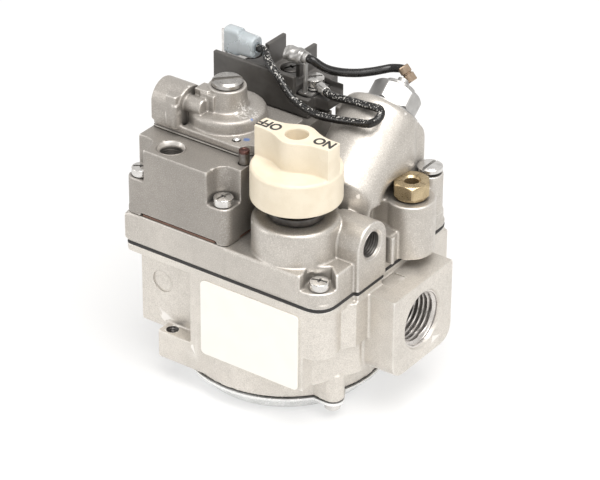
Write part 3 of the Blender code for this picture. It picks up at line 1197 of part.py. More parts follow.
def pilot_adjuster():
    place = (NEEDLE_X, NEEDLE_Y)
    ring_low = Z_NEEDLE_TOP + FACE_GAP
    ring_radius, bore = NEEDLE_HEAD_RADIUS - FACE_GAP, NEEDLE_RADIUS + RUN_GAP
    dress(disc("pilot_oring", ring_low, ORING_THICK, ring_radius, bore, 20, place), rubber())
    head_low = ring_low + ORING_THICK + FACE_GAP
    top = head_low + NEEDLE_HEAD_HEIGHT
    tip = Z_NEEDLE_TOP - NEEDLE_LENGTH
    rim = NEEDLE_HEAD_HEIGHT / 3
    profile = [(0.0, top), (NEEDLE_HEAD_RADIUS - rim, top), (NEEDLE_HEAD_RADIUS, top - rim),
               (NEEDLE_HEAD_RADIUS, head_low), (NEEDLE_RADIUS, head_low),
               (NEEDLE_RADIUS, tip + NEEDLE_RADIUS), (0.0, tip)]
    screw = turned("pilot_screw", profile, (*place, 0))
    slot(screw, place, top, NEEDLE_HEAD_RADIUS, DRIVE_WIDTH, DRIVE_DEPTH, BACK)
    dress(screw, zinc_steel())
    carry([screw], "pilot_screw_turn", (*place, head_low))


def screws():
    for i, place in enumerate(block_screw_places()):
        pan_head_screw(f"block_screw_{i + 1}", place, Z_LEDGE, BLOCK_SCREW_LENGTH, zinc_steel())
    for i, place in enumerate(body_screw_places()):
        pan_head_screw(f"body_screw_{i + 1}", place, Z_BODY_SCREW_SEAT, BODY_SCREW_LENGTH, zinc_steel())
    for i, place in enumerate(pan_screw_places()):
        length = PAN_SHEET + SKIRT_HEIGHT - 2 * ROOT
        pan_head_screw(f"pan_screw_{i + 1}", place, PAN_DEPTH - PAN_SHEET, length, zinc_steel(), up=False)
    for i, x in enumerate(TERMINAL_MOUNT_SCREW_X):
        place = (x, TERMINAL_MOUNT_SCREW_Y)
        length = TERMINAL_MOUNT_SCREW_LENGTH - ROOT
        pan_head_screw(f"terminal_mount_screw_{i + 1}", place, Z_DECK, length, zinc_steel())


def terminal_block():
    left, right, front, back = TERMINAL_LEFT, TERMINAL_RIGHT, TERMINAL_FRONT, TERMINAL_BACK
    block = box("terminal_block", (left, front, Z_TERMINAL), (right, back, Z_DECK))
    pedestal = box("pedestal", (right - ROOT, PEDESTAL_FRONT, Z_DECK - PEDESTAL_HEIGHT),
                   (PEDESTAL_RIGHT, PEDESTAL_BACK, Z_DECK - FACE_GAP))
    wall = box("terminal_wall", (left, front, Z_DECK - ROOT),
               (FRONT_WALL_RIGHT, front + TERMINAL_WALL, Z_TERMINAL + FRONT_WALL_HEIGHT))
    join(block, pedestal, wall)
    fin_top, half = Z_TERMINAL + FIN_HEIGHT, FIN_THICK / 2
    for i, x in enumerate(FIN_X):
        join(block, box(f"fin_{i}", (x - half, FIN_FRONT, Z_DECK - ROOT), (x + half, back, fin_top)))
    inside = box("terminal_inside", (left + TERMINAL_WALL, front + TERMINAL_WALL, Z_TERMINAL - ROOT),
                 (right - TERMINAL_WALL, back - TERMINAL_WALL, Z_DECK - TERMINAL_DECK))
    cut(block, inside)
    screw = (TERMINAL_SCREW_X, TERMINAL_SCREW_Y, Z_DECK)
    hole(block, "screw", screw, -UP, TERMINAL_SCREW_LENGTH, SCREW_RADIUS + HOLE_GAP)
    for i, x in enumerate(TERMINAL_MOUNT_SCREW_X):
        place = (x, TERMINAL_MOUNT_SCREW_Y, Z_DECK)
        hole(block, f"mount_{i}", place, -UP, TERMINAL_DECK + ROOT, SCREW_RADIUS + HOLE_GAP)
    return dress(block, dark_plastic())


def tab_and_connector():
    left = TERMINAL_LEFT + FACE_GAP
    low = Z_TERMINAL_PLATE
    half = METAL / 2
    tab_low = low + METAL + TAB_RISE
    tab_top = tab_low + TAB_WIDTH
    post = left + TAB_POST
    start = post + FACE_GAP
    end = start + CONNECTOR_LENGTH
    deep = end - CONNECTOR_END
    foot_front, foot_back = TAB_Y - TAB_WIDTH / 2, TAB_Y + TAB_WIDTH / 2
    front, back = TAB_Y - half, TAB_Y + half
    tab = box("tab_terminal", (left, foot_front, low), (left + TAB_FOOT, foot_back, low + METAL))
    join(tab, box("tab_post", (left, front, low + half), (post, back, tab_top)))
    join(tab, box("tab_blade", (left + half, front, tab_low), (deep - FACE_GAP, back, tab_top)))
    dress(tab, zinc_steel())
    middle = (tab_low + tab_top) / 2
    side, tall = CONNECTOR_THICK / 2, CONNECTOR_HEIGHT / 2
    outline = rectangle(TAB_Y - side, middle - tall, TAB_Y + side, middle + tall, CONNECTOR_ROUND)
    connector = slab("spade_connector", outline, start, end, ALONG_X)
    room = HOLE_GAP + half
    cut(connector, box("connector_mouth", (start - ROOT, TAB_Y - room, tab_low - HOLE_GAP),
                       (deep, TAB_Y + room, tab_top + HOLE_GAP)))
    dress(connector, nylon())
    return Vector((end + FACE_GAP, TAB_Y, middle)), RIGHT


def flag_terminal():
    low = Z_TERMINAL_PLATE
    left = FIN_X[1] + FIN_THICK / 2 + FACE_GAP
    strip_right = FLAG_STRIP_X + METAL
    high = low + METAL
    plate = box("flag_terminal", (left, FLAG_STRIP_FRONT, low), (TERMINAL_RIGHT, FLAG_PLATE_BACK, high))
    strip_top = low + METAL + FLAG_RISE
    join(plate, box("flag_strip", (FLAG_STRIP_X, FLAG_STRIP_FRONT, low + METAL / 2),
                    (strip_right, FLAG_STRIP_FRONT + FLAG_STRIP_WIDTH, strip_top)))
    barrel_z = strip_top + FLAG_BARREL_RADIUS - METAL
    middle = Vector((strip_right, FLAG_STRIP_FRONT + FLAG_BARREL_RADIUS, barrel_z))
    barrel = rod("flag_barrel", middle, -RIGHT, FLAG_BARREL_LENGTH, FLAG_BARREL_RADIUS, sides=16)
    join(plate, barrel)
    screw = (TERMINAL_SCREW_X, TERMINAL_SCREW_Y, high)
    hole(plate, "screw", screw, -UP, METAL + ROOT, SCREW_RADIUS + HOLE_GAP)
    dress(plate, zinc_steel())
    return middle + RIGHT * FACE_GAP, RIGHT


def ring_terminal():
    low = Z_TERMINAL_PLATE + METAL + FACE_GAP
    place = Vector((TERMINAL_SCREW_X, TERMINAL_SCREW_Y, low))
    out = Vector((math.cos(RING_TURN), math.sin(RING_TURN), 0.0))
    ring = rod("ring_terminal", place, UP, METAL, RING_RADIUS, sides=20)
    start = place + out * (RING_RADIUS - METAL) + UP * BARREL_RADIUS
    join(ring, rod("ring_barrel", start, out, RING_BARREL_LENGTH, BARREL_RADIUS, sides=16))
    seat = place + UP * METAL
    cut(ring, rod("ring_head_room", seat, UP, HEAD_HEIGHT + BARREL_RADIUS * 2, HEAD_RADIUS + HOLE_GAP))
    hole(ring, "screw", seat, -UP, METAL + ROOT, SCREW_RADIUS + HOLE_GAP)
    dress(ring, zinc_steel())
    pan_head_screw("terminal_screw", place.xy, seat.z, TERMINAL_SCREW_LENGTH, zinc_steel())
    return start + out * (RING_BARREL_LENGTH + FACE_GAP), out


def lead_sleeve():
    middle = on_tower(WASHER_THICK + 3 * FACE_GAP + MAGNET_NUT_HEIGHT + SLEEVE_RADIUS)
    start = middle - RIGHT * SLEEVE_LENGTH / 2
    dress(rod("lead_sleeve", start, RIGHT, SLEEVE_LENGTH, SLEEVE_RADIUS, sides=16), bronze())
    return middle - RIGHT * (SLEEVE_LENGTH / 2 + FACE_GAP), -RIGHT


def lead_between(name, start, route, end, diameter):
    """A lead that leaves both its terminals square to their faces."""
    (first, out), (last, back) = start, end
    points = [first, first + out * LEAD_STRAIGHT, *route, last + back * LEAD_STRAIGHT, last]
    dress(lead(name, points, diameter), lead_jacket())


def wiring():
    """The terminals and the two leads that run between them."""
    connector, flag = tab_and_connector(), flag_terminal()
    ring, sleeve = ring_terminal(), lead_sleeve()
    lead_between("connector_lead", connector, CONNECTOR_LEAD_ROUTE, ring, CONNECTOR_LEAD)
    lead_between("magnet_lead", flag, MAGNET_LEAD_ROUTE, sleeve, MAGNET_LEAD)


def build():
    clear_scene()
    bottom_cover()
    lower_body()
    main_valve()
    body_gasket()
    upper_body()
    knob_and_stem()
    magnet_unit()
    pilot_fitting()
    pilot_adjuster()
    block_gasket()
    regulator_block()
    regulator_cover()
    regulator_inside()
    cover_fasteners()
    terminal_block()
    wiring()
    screws()


build()
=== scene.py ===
import math

import bmesh
import bpy
from mathutils import Matrix, Vector

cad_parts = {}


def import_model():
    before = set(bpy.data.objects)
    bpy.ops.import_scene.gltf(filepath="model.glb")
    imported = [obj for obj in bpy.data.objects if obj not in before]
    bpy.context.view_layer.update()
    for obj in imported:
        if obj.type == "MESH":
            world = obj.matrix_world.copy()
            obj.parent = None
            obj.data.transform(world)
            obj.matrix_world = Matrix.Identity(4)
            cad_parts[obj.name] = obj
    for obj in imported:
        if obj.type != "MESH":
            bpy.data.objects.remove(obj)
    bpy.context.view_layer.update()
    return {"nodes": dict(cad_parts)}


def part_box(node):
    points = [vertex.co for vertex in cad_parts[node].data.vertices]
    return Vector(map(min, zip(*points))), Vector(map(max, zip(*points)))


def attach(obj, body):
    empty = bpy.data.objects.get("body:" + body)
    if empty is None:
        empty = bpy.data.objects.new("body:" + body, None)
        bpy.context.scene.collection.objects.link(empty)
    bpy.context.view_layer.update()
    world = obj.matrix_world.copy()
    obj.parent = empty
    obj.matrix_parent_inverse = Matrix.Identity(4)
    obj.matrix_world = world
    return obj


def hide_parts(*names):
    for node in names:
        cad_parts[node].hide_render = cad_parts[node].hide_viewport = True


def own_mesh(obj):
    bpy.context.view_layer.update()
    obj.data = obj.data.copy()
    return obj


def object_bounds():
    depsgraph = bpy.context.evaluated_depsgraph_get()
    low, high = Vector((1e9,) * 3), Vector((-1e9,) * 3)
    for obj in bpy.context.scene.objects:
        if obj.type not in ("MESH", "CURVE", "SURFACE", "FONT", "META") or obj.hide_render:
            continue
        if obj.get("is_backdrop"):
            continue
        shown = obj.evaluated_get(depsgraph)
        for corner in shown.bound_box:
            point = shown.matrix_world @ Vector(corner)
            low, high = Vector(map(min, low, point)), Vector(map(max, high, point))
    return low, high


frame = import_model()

MM = 0.001
PER_METRE = 1000.0
NODES = frame["nodes"]
X, Y, Z = Vector((1, 0, 0)), Vector((0, 1, 0)), Vector((0, 0, 1))
SCENE = bpy.context.scene


# Camera at the photograph's viewing angle

ROLL = math.radians(0.4)
CAMERA_RIGHT = Vector((0.8141, 0.5807, 0.0))
CAMERA_UP = Vector((-0.2965, 0.4156, 0.8599))
CAMERA_BACK = Vector((0.4993, -0.7000, 0.5105))
CAMERA_PLACE = Vector((0.5352, -0.7421, 0.5937))


def camera():
    data = bpy.data.cameras.new("camera")
    data.lens = 180.0
    data.sensor_width = 36.0
    data.sensor_fit = "HORIZONTAL"
    data.clip_start = 0.05
    data.clip_end = 20.0
    eye = bpy.data.objects.new("camera", data)
    SCENE.collection.objects.link(eye)
    right = CAMERA_RIGHT * math.cos(ROLL) + CAMERA_UP * math.sin(ROLL)
    up = CAMERA_UP * math.cos(ROLL) - CAMERA_RIGHT * math.sin(ROLL)
    turn = Matrix((right, up, CAMERA_BACK)).transposed().to_4x4()
    eye.matrix_world = Matrix.Translation(CAMERA_PLACE) @ turn
    SCENE.camera = eye


# Materials

PAINTS = {}
MIX_FACTOR, MIX_FIRST, MIX_SECOND, MIX_RESULT = 0, 6, 7, 2


def add_node(tree, kind, values=(), **settings):
    """A new shader node with its settings made and its inputs set or linked."""
    made = tree.nodes.new("ShaderNode" + kind)
    for label, value in settings.items():
        setattr(made, label, value)
    for socket, value in dict(values).items():
        target = made.inputs[socket]
        if isinstance(value, bpy.types.NodeSocket):
            tree.links.new(value, target)
        else:
            target.default_value = value
    return made


def scaled(tone, share):
    return [min(1.0, c * share) for c in tone]


class Paint:
    """A node material with one principled shader, kept in PAINTS under its name."""

    def __init__(self, name, metallic=0.0, **constants):
        PAINTS[name] = self
        self.material = bpy.data.materials.new(name)
        self.material.use_nodes = True
        self.tree = self.material.node_tree
        self.shader = self.tree.nodes["Principled BSDF"]
        self.shader.inputs["Metallic"].default_value = metallic
        for label, value in constants.items():
            self.shader.inputs[label.replace("_", " ")].default_value = value
        self.place = self.node("TexCoord").outputs["Object"]

    def node(self, kind, values=(), **settings):
        return add_node(self.tree, kind, values, **settings)

    def noise(self, size, detail=2.0, rough=0.5, place=None):
        """Noise whose lumps are about size millimetres across."""
        values = {"Vector": place or self.place, "Scale": PER_METRE / size, "Detail": detail,
                  "Roughness": rough}
        return self.node("TexNoise", values).outputs["Fac"]

    def ramp(self, value, low, high, to_low=0.0, to_high=1.0):
        values = {"Value": value, "From Min": low, "From Max": high, "To Min": to_low, "To Max": to_high}
        return self.node("MapRange", values, interpolation_type="SMOOTHSTEP").outputs["Result"]

    def math(self, operation, first, second=0.0):
        return self.node("Math", {0: first, 1: second}, operation=operation).outputs[0]

    def times(self, first, second):
        return self.math("MULTIPLY", first, second)

    def rough(self, value, low, high):
        """Roughness that follows a noise between two values."""
        self.link("Roughness", self.ramp(value, 0.3, 0.7, low, high))

    def mix(self, factor, first, second):
        values = {MIX_FACTOR: factor}
        for socket, tone in ((MIX_FIRST, first), (MIX_SECOND, second)):
            values[socket] = tone if isinstance(tone, bpy.types.NodeSocket) else (*tone, 1.0)
        return self.node("Mix", values, data_type="RGBA").outputs[MIX_RESULT]

    def spot(self, centre, radius, soft):
        """A mask that is 1 within radius millimetres of a place, with a ragged edge."""
        ends = {0: self.place, 1: Vector(centre) * MM}
        gap = self.node("VectorMath", ends, operation="DISTANCE")
        ragged = self.math("ADD", gap.outputs["Value"], self.times(self.noise(0.9), soft * MM))
        return self.ramp(ragged, radius * MM, (radius + soft) * MM, 1.0, 0.0)

    def edges(self, low, high):
        """A mask of the outer edges of the shape."""
        return self.ramp(self.node("NewGeometry").outputs["Pointiness"], low, high)

    def crevice(self, reach, amount, low=0.30, high=0.85):
        """A mask of corners and recesses that are closer than reach millimetres to other surfaces, used to
        paint shade into them.
        """
        shade = self.node("AmbientOcclusion", {"Distance": reach * MM}, samples=6)
        return self.ramp(shade.outputs["AO"], low, high, amount, 0.0)

    def link(self, socket, value):
        self.tree.links.new(value, self.shader.inputs[socket])

    def bump(self, height, depth, strength=1.0, under=None):
        values = {"Strength": strength, "Distance": depth * MM, "Height": height}
        if under:
            values["Normal"] = under
        return self.node("Bump", values).outputs["Normal"]


def cast_metal(name, tone, edge, metallic=0.6, painted_shade=0.45):
    """A die-cast skin: even tone, fine grain, painted shade in creases and recesses, and bright edges that
    are partly wear and partly a painted highlight.
    """
    paint = Paint(name, metallic=metallic)
    cloud = paint.noise(22.0, 3.0, 0.5)
    patch = paint.noise(3.0, 3.0, 0.55)
    fine = paint.noise(0.40, 2.0, 0.65)
    colour = paint.mix(paint.ramp(cloud, 0.32, 0.68), scaled(tone, 0.92), scaled(tone, 1.05))
    colour = paint.mix(paint.ramp(patch, 0.40, 0.72, 0.0, 0.35), colour, scaled(tone, 0.86))
    colour = paint.mix(paint.ramp(fine, 0.44, 0.68, 0.0, 0.45), colour, scaled(tone, 0.66))
    colour = paint.mix(paint.ramp(fine, 0.30, 0.46, 0.35, 0.0), colour, edge)
    # Painted shade: corners and recesses within 3 mm are darkened, and a broader painted shade within 14 mm
    # falls under overhangs and between parts.
    colour = paint.mix(paint.crevice(3.0, painted_shade), colour, scaled(tone, 0.30))
    colour = paint.mix(paint.crevice(14.0, painted_shade * 0.7, 0.25, 0.80), colour, scaled(tone, 0.45))
    # Convex edges lighten towards the edge colour: partly wear, partly a painted highlight.
    colour = paint.mix(paint.times(paint.edges(0.515, 0.57), 0.85), colour, edge)
    paint.link("Base Color", colour)
    paint.rough(patch, 0.36, 0.50)
    coarse = paint.bump(patch, 0.036, 0.35)
    paint.link("Normal", paint.bump(fine, 0.03, 0.8, coarse))


def plated(name, dark, light, rough, metallic=1.0, stain_and_reflection=None, painted_shade=0.5):
    """Bright or turned metal: soft clouding, fine scratches, painted shade in recesses and optional blotches,
    which are tarnish on brass and painted dark reflections on chrome.
    """
    paint = Paint(name, metallic=metallic)
    cloud = paint.noise(3.4, 2.0)
    stretch = paint.node("Mapping", {"Vector": paint.place, "Scale": (1.0, 1.0, 14.0)})
    fine = paint.noise(0.8, 2.0, 0.6, stretch.outputs["Vector"])
    tone = paint.mix(paint.ramp(cloud, 0.35, 0.65), dark, light)
    # A second colour in blotches: tarnish stains on brass, painted dark reflections on chrome.
    if stain_and_reflection:
        tone = paint.mix(paint.ramp(paint.noise(3.6, 2.0, 0.5), 0.42, 0.68, 0.0, 0.6), tone, stain_and_reflection)
    # Painted shade in recesses such as thread grooves and screw drives.
    tone = paint.mix(paint.crevice(1.6, painted_shade), tone, scaled(dark, 0.22))
    wear = paint.edges(0.52, 0.6)
    tone = paint.mix(paint.times(wear, 0.6), tone, scaled(light, 1.25))
    paint.link("Base Color", tone)
    paint.rough(fine, *rough)
    paint.link("Normal", paint.bump(fine, 0.005, 0.3))


def moulded_plastic(name, dark, light, rough, grain=0.5, depth=0.012, **constants):
    """Moulded plastic: faint flow marks, fine texture and slightly rubbed edges."""
    paint = Paint(name, **constants)
    flow = paint.noise(7.0, 3.0)
    fine = paint.noise(grain, 2.0)
    tone = paint.mix(paint.ramp(flow, 0.35, 0.65), dark, light)
    tone = paint.mix(paint.ramp(fine, 0.55, 0.75, 0.0, 0.18), tone, scaled(dark, 0.8))
    rubbed = paint.times(paint.edges(0.51, 0.57), 0.5)
    tone = paint.mix(rubbed, tone, [min(1.0, c * 1.12 + 0.01) for c in light])
    paint.link("Base Color", tone)
    paint.rough(flow, *rough)
    paint.link("Normal", paint.bump(fine, depth, 0.8))


def jacket(name, printed):
    """A lead's black jacket. Its own map runs along it in millimetres and once around it."""
    paint = Paint(name, Specular_IOR_Level=0.55)
    spot = paint.node("UVMap").outputs["UV"]
    split = paint.node("SeparateXYZ", {"Vector": spot})
    along, around = split.outputs["X"], split.outputs["Y"]
    dust = paint.noise(0.7, 2.0)
    tone = paint.mix(paint.ramp(dust, 0.4, 0.7), (0.004, 0.0036, 0.0033), (0.010, 0.0092, 0.0085))
    if printed:
        full_turn = 2 * math.pi
        twice_around = paint.times(around, 2 * full_turn)
        wave = paint.math("ADD", paint.times(along, 9.0), twice_around)
        fleck = paint.ramp(paint.noise(0.7, 1.0), 0.60, 0.65)
        upper = paint.ramp(paint.math("COSINE", paint.times(around, full_turn)), 0.55, 0.8)
        mark = paint.times(fleck, upper)
        tone = paint.mix(paint.times(mark, 0.8), tone, (0.72, 0.70, 0.66))
        paint.link("Normal", paint.bump(paint.math("SINE", wave), 0.03, 0.4))
        paint.rough(dust, 0.24, 0.36)
    else:
        paint.link("Normal", paint.bump(dust, 0.015, 0.4))
        paint.rough(dust, 0.18, 0.30)
    paint.link("Base Color", tone)


def paper(name):
    paint = Paint(name, Specular_IOR_Level=0.45)
    fibre_tone = paint.noise(0.5, 3.0)
    cloud = paint.noise(9.0, 2.0)
    tone = paint.mix(paint.ramp(cloud, 0.35, 0.65), (0.915, 0.895, 0.85), (0.93, 0.912, 0.868))
    tone = paint.mix(paint.ramp(fibre_tone, 0.5, 0.75, 0.0, 0.06), tone, (0.78, 0.75, 0.69))
    paint.link("Base Color", tone)
    paint.rough(cloud, 0.30, 0.44)
    paint.link("Normal", paint.bump(fibre_tone, 0.008, 0.6))


def cover_marks(paint):
    """The regulator cover's inspection ink dabs and the sand-rough patch on its dome."""
    base = paint.shader.inputs["Base Color"].links[0].from_socket
    rough_patch = paint.spot((-13.0, -6.5, 100.4), 4.6, 3.0)
    grit = paint.times(rough_patch, paint.ramp(paint.noise(0.9, 2.0), 0.50, 0.58))
    base = paint.mix(paint.times(grit, 0.8), base, (0.86, 0.84, 0.81))
    dabs = paint.spot((-6.9, -14.2, 95.2), 1.1, 0.8)
    dot = paint.spot((-9.3, -8.2, 99.4), 0.5, 0.5)
    ink = paint.times(paint.math("MAXIMUM", dabs, dot), 0.8)
    paint.link("Base Color", paint.mix(ink, base, (0.10, 0.22, 0.55)))


def red_tip(paint, height):
    """Sealing lacquer on everything above a height."""
    base = paint.shader.inputs["Base Color"].links[0].from_socket
    rise = paint.node("SeparateXYZ", {"Vector": paint.place}).outputs["Z"]
    ragged = paint.math("ADD", rise, paint.times(paint.noise(0.8, 3.0), 0.0012))
    paint.link("Base Color", paint.mix(paint.ramp(ragged, height * MM, (height + 0.35) * MM, 0.0, 0.8),
                                       base, (0.115, 0.040, 0.032)))


# Edge colour of the light castings: it colours their grain flecks, and on their edges stands partly for wear
# and partly for a painted highlight.
BRIGHT_EDGE = (0.93, 0.905, 0.87)
cast_metal("cast_aluminium", (0.72, 0.68, 0.625), BRIGHT_EDGE, 0.7)
cast_metal("upper_aluminium", (0.59, 0.555, 0.51), BRIGHT_EDGE, 0.75, painted_shade=0.35)
cast_metal("dark_cast_aluminium", (0.37, 0.344, 0.315), (0.72, 0.69, 0.65))
cast_metal("cover_aluminium", (0.45, 0.42, 0.386), (0.80, 0.77, 0.73))
plated("machined_aluminium", (0.55, 0.525, 0.50), (0.70, 0.67, 0.64), (0.24, 0.38), 0.8, painted_shade=0.45)
plated("cut_aluminium", (0.50, 0.475, 0.445), (0.60, 0.575, 0.545), (0.32, 0.42), 0.8, painted_shade=0.2)
plated("shaded_thread", (0.19, 0.18, 0.17), (0.28, 0.266, 0.252), (0.4, 0.55), painted_shade=0.7)
plated("zinc_steel", (0.62, 0.605, 0.585), (0.74, 0.725, 0.705), (0.16, 0.26), 0.85, painted_shade=0.6)
plated("cap_steel", (0.40, 0.385, 0.37), (0.50, 0.485, 0.465), (0.26, 0.36), painted_shade=0.45)
plated("dark_steel", (0.085, 0.08, 0.076), (0.14, 0.132, 0.126), (0.3, 0.45))
plated("pan_steel", (0.76, 0.765, 0.755), (0.86, 0.865, 0.855), (0.16, 0.28), 0.7, painted_shade=0.3)
plated("spring_steel", (0.40, 0.39, 0.38), (0.58, 0.57, 0.55), (0.2, 0.36))
plated("brass", (0.37, 0.29, 0.175), (0.52, 0.42, 0.265), (0.24, 0.38), 0.85, stain_and_reflection=(0.25, 0.18, 0.105))
plated("bronze", (0.30, 0.22, 0.155), (0.46, 0.355, 0.265), (0.16, 0.26), 0.9)
# Chrome's blotch colour is painted dark reflections, and its recesses get a strong painted shade.
plated("chrome", (0.36, 0.353, 0.345), (0.48, 0.472, 0.46), (0.36, 0.50), 0.90, painted_shade=0.8,
       stain_and_reflection=(0.42, 0.41, 0.395))
moulded_plastic("cream_plastic", (0.76, 0.672, 0.525), (0.805, 0.722, 0.58), (0.36, 0.48))
moulded_plastic("dark_plastic", (0.070, 0.065, 0.060), (0.102, 0.096, 0.09), (0.38, 0.5))
moulded_plastic("nylon", (0.62, 0.68, 0.71), (0.74, 0.79, 0.82), (0.18, 0.3), Transmission_Weight=0.45,
                IOR=1.45)
moulded_plastic("black_rubber", (0.012, 0.012, 0.012), (0.030, 0.028, 0.027), (0.5, 0.7))
moulded_plastic("grey_sheet", (0.34, 0.32, 0.295), (0.44, 0.415, 0.385), (0.55, 0.7))
moulded_plastic("fibre", (0.125, 0.068, 0.048), (0.19, 0.105, 0.075), (0.7, 0.85), grain=0.3, depth=0.04)
jacket("lead_jacket", False)
jacket("printed_jacket", True)
paper("label_stock")
moulded_plastic("black_print", (0.008, 0.0075, 0.007), (0.02, 0.018, 0.017), (0.4, 0.55))
plated("red_tipped_steel", (0.14, 0.13, 0.122), (0.24, 0.225, 0.21), (0.32, 0.48))
cover_marks(PAINTS["cover_aluminium"])
red_tip(PAINTS["red_tipped_steel"], 95.7)


# Shapes, in millimetres

def cad(*names):
    """The CAD solids of these nodes as one welded mesh."""
    bm = bmesh.new()
    for name in names:
        bm.from_mesh(NODES[name].data)
    bmesh.ops.scale(bm, vec=(PER_METRE,) * 3, verts=bm.verts)
    bmesh.ops.remove_doubles(bm, verts=bm.verts, dist=1e-4)
    return bm


def skin(rows, cap=True):
    """A solid skinned over rings of points; a ring of one point is a pole."""
    bm = bmesh.new()
    made = [[bm.verts.new(p) for p in row] for row in rows]
    pairs = list(zip(made, made[1:]))
    if not cap:
        pairs.append((made[-1], made[0]))
    for low, high in pairs:
        count = max(len(low), len(high))
        for i in range(count):
            j = (i + 1) % count
            corners = [low[i % len(low)], low[j % len(low)], high[j % len(high)], high[i % len(high)]]
            bm.faces.new(list(dict.fromkeys(corners)))
    if cap:
        for row in (made[0], made[-1]):
            if len(row) > 2:
                bm.faces.new(row)
    bmesh.ops.recalc_face_normals(bm, faces=bm.faces)
    return bm


def at(place):
    """A place in space; a pair lies at height 0."""
    return Vector((*place, 0.0)[:3])


def aim(base, axis):
    return Matrix.Translation(at(base)) @ Z.rotation_difference(Vector(axis)).to_matrix().to_4x4()


def circle(radius, sides):
    turns = [2 * math.pi * i / sides for i in range(sides)]
    return [(radius * math.cos(a), radius * math.sin(a)) for a in turns]


def moved(bm, matrix):
    bmesh.ops.transform(bm, matrix=matrix, verts=bm.verts)


def shifted(bm, way):
    bmesh.ops.translate(bm, vec=at(way), verts=bm.verts)


def turned(profile, base=(0, 0, 0), axis=Z, sides=96):
    """A turned solid; the profile runs from pole to pole, or closes on itself off the axis."""
    rows = []
    for radius, height in profile:
        outline = circle(radius, sides) if radius > 1e-6 else [(0.0, 0.0)]
        rows.append([(x, y, height) for x, y in outline])
    poles = len(rows[0]) == 1 or len(rows[-1]) == 1
    bm = skin(rows, cap=poles)
    moved(bm, aim(base, axis))
    return bm


def rod(radius, low, high, base=(0, 0, 0), axis=Z, sides=48):
    return turned([(0.0, low), (radius, low), (radius, high), (0.0, high)], base, axis, sides)


def soft(points, radius=0.0, steps=5):
    """A path or outline with its corners rounded; a point may carry its own radius."""
    out = [points[0][:2]]
    for before, here, after in zip(points, points[1:], points[2:]):
        r = here[2] if len(here) > 2 else radius
        p, a, b = Vector(here[:2]), Vector(before[:2]), Vector(after[:2])
        u, v = (a - p), (b - p)
        if r <= 0.0 or u.length < 1e-6 or v.length < 1e-6:
            out.append(tuple(p))
            continue
        half = u.angle(v) / 2
        if abs(half - math.pi / 2) < 1e-3:
            out.append(tuple(p))
            continue
        reach = min(r / math.tan(half), 0.49 * u.length, 0.49 * v.length)
        start, end = p + u.normalized() * reach, p + v.normalized() * reach
        for i in range(steps + 1):
            t = i / steps
            out.append(tuple(start.lerp(p, t).lerp(p.lerp(end, t), t)))
    out.append(points[-1][:2])
    return out


def loop(corners, radius=0.0, steps=5):
    """A closed outline with rounded corners."""
    return soft([corners[-1]] + list(corners) + [corners[0]], radius, steps)[1:-1]


def rectangle(left, low, right, high, radius=0.0, steps=5):
    return loop([(left, low), (right, low), (right, high), (left, high)], radius, steps)


def placed(point, height, axis):
    a, b = point
    return {0: (height, a, b), 1: (a, height, b), 2: (a, b, height)}[axis]


def prism(outline, low, high, axis=2):
    """A straight solid over an outline along X (0), Y (1) or Z (2)."""
    return skin([[placed(p, h, axis) for p in outline] for h in (low, high)])


def box(low, high):
    return prism(rectangle(low[0], low[1], high[0], high[1]), low[2], high[2])


def joined(*parts):
    """Solids put into one mesh as they are."""
    bm = bmesh.new()
    for part in parts:
        mesh = bpy.data.meshes.new("part")
        part.to_mesh(mesh)
        bm.from_mesh(mesh)
        bpy.data.meshes.remove(mesh)
    return bm


def carrier(bm):
    """An object that holds the shape while modifiers work on it."""
    mesh = bpy.data.meshes.new("carrier")
    bm.to_mesh(mesh)
    obj = bpy.data.objects.new("carrier", mesh)
    SCENE.collection.objects.link(obj)
    return obj


def discard(obj):
    data = obj.data
    store = bpy.data.curves if obj.type == "FONT" else bpy.data.meshes
    bpy.data.objects.remove(obj, do_unlink=True)
    store.remove(data)


def worked(obj):
    """The object's mesh with its modifiers applied; the object goes."""
    bpy.context.view_layer.update()
    mesh = bpy.data.meshes.new_from_object(obj.evaluated_get(bpy.context.evaluated_depsgraph_get()))
    discard(obj)
    bm = bmesh.new()
    bm.from_mesh(mesh)
    bpy.data.meshes.remove(mesh)
    return bm


def boolean(bm, tools, operation="DIFFERENCE"):
    for tool in tools:
        host, cutter = carrier(bm), carrier(tool)
        modifier = host.modifiers.new("boolean", "BOOLEAN")
        modifier.operation = operation
        modifier.solver = "MANIFOLD"
        modifier.object = cutter
        bm = worked(host)
        discard(cutter)
    return bm


SLIVER = 0.04


def melted(bm, voxel, passes=3, share=0.3):
    """Solids run together with small fillets on every edge, as a casting or moulding comes out."""
    host = carrier(bm)
    remesh = host.modifiers.new("remesh", "REMESH")
    remesh.mode = "VOXEL"
    remesh.voxel_size = voxel
    smooth = host.modifiers.new("smooth", "SMOOTH")
    smooth.factor = 0.5
    smooth.iterations = passes
    if share < 1.0:
        thin = host.modifiers.new("thin", "DECIMATE")
        thin.ratio = share
    bm = worked(host)
    bmesh.ops.dissolve_degenerate(bm, dist=SLIVER, edges=bm.edges)
    return bm


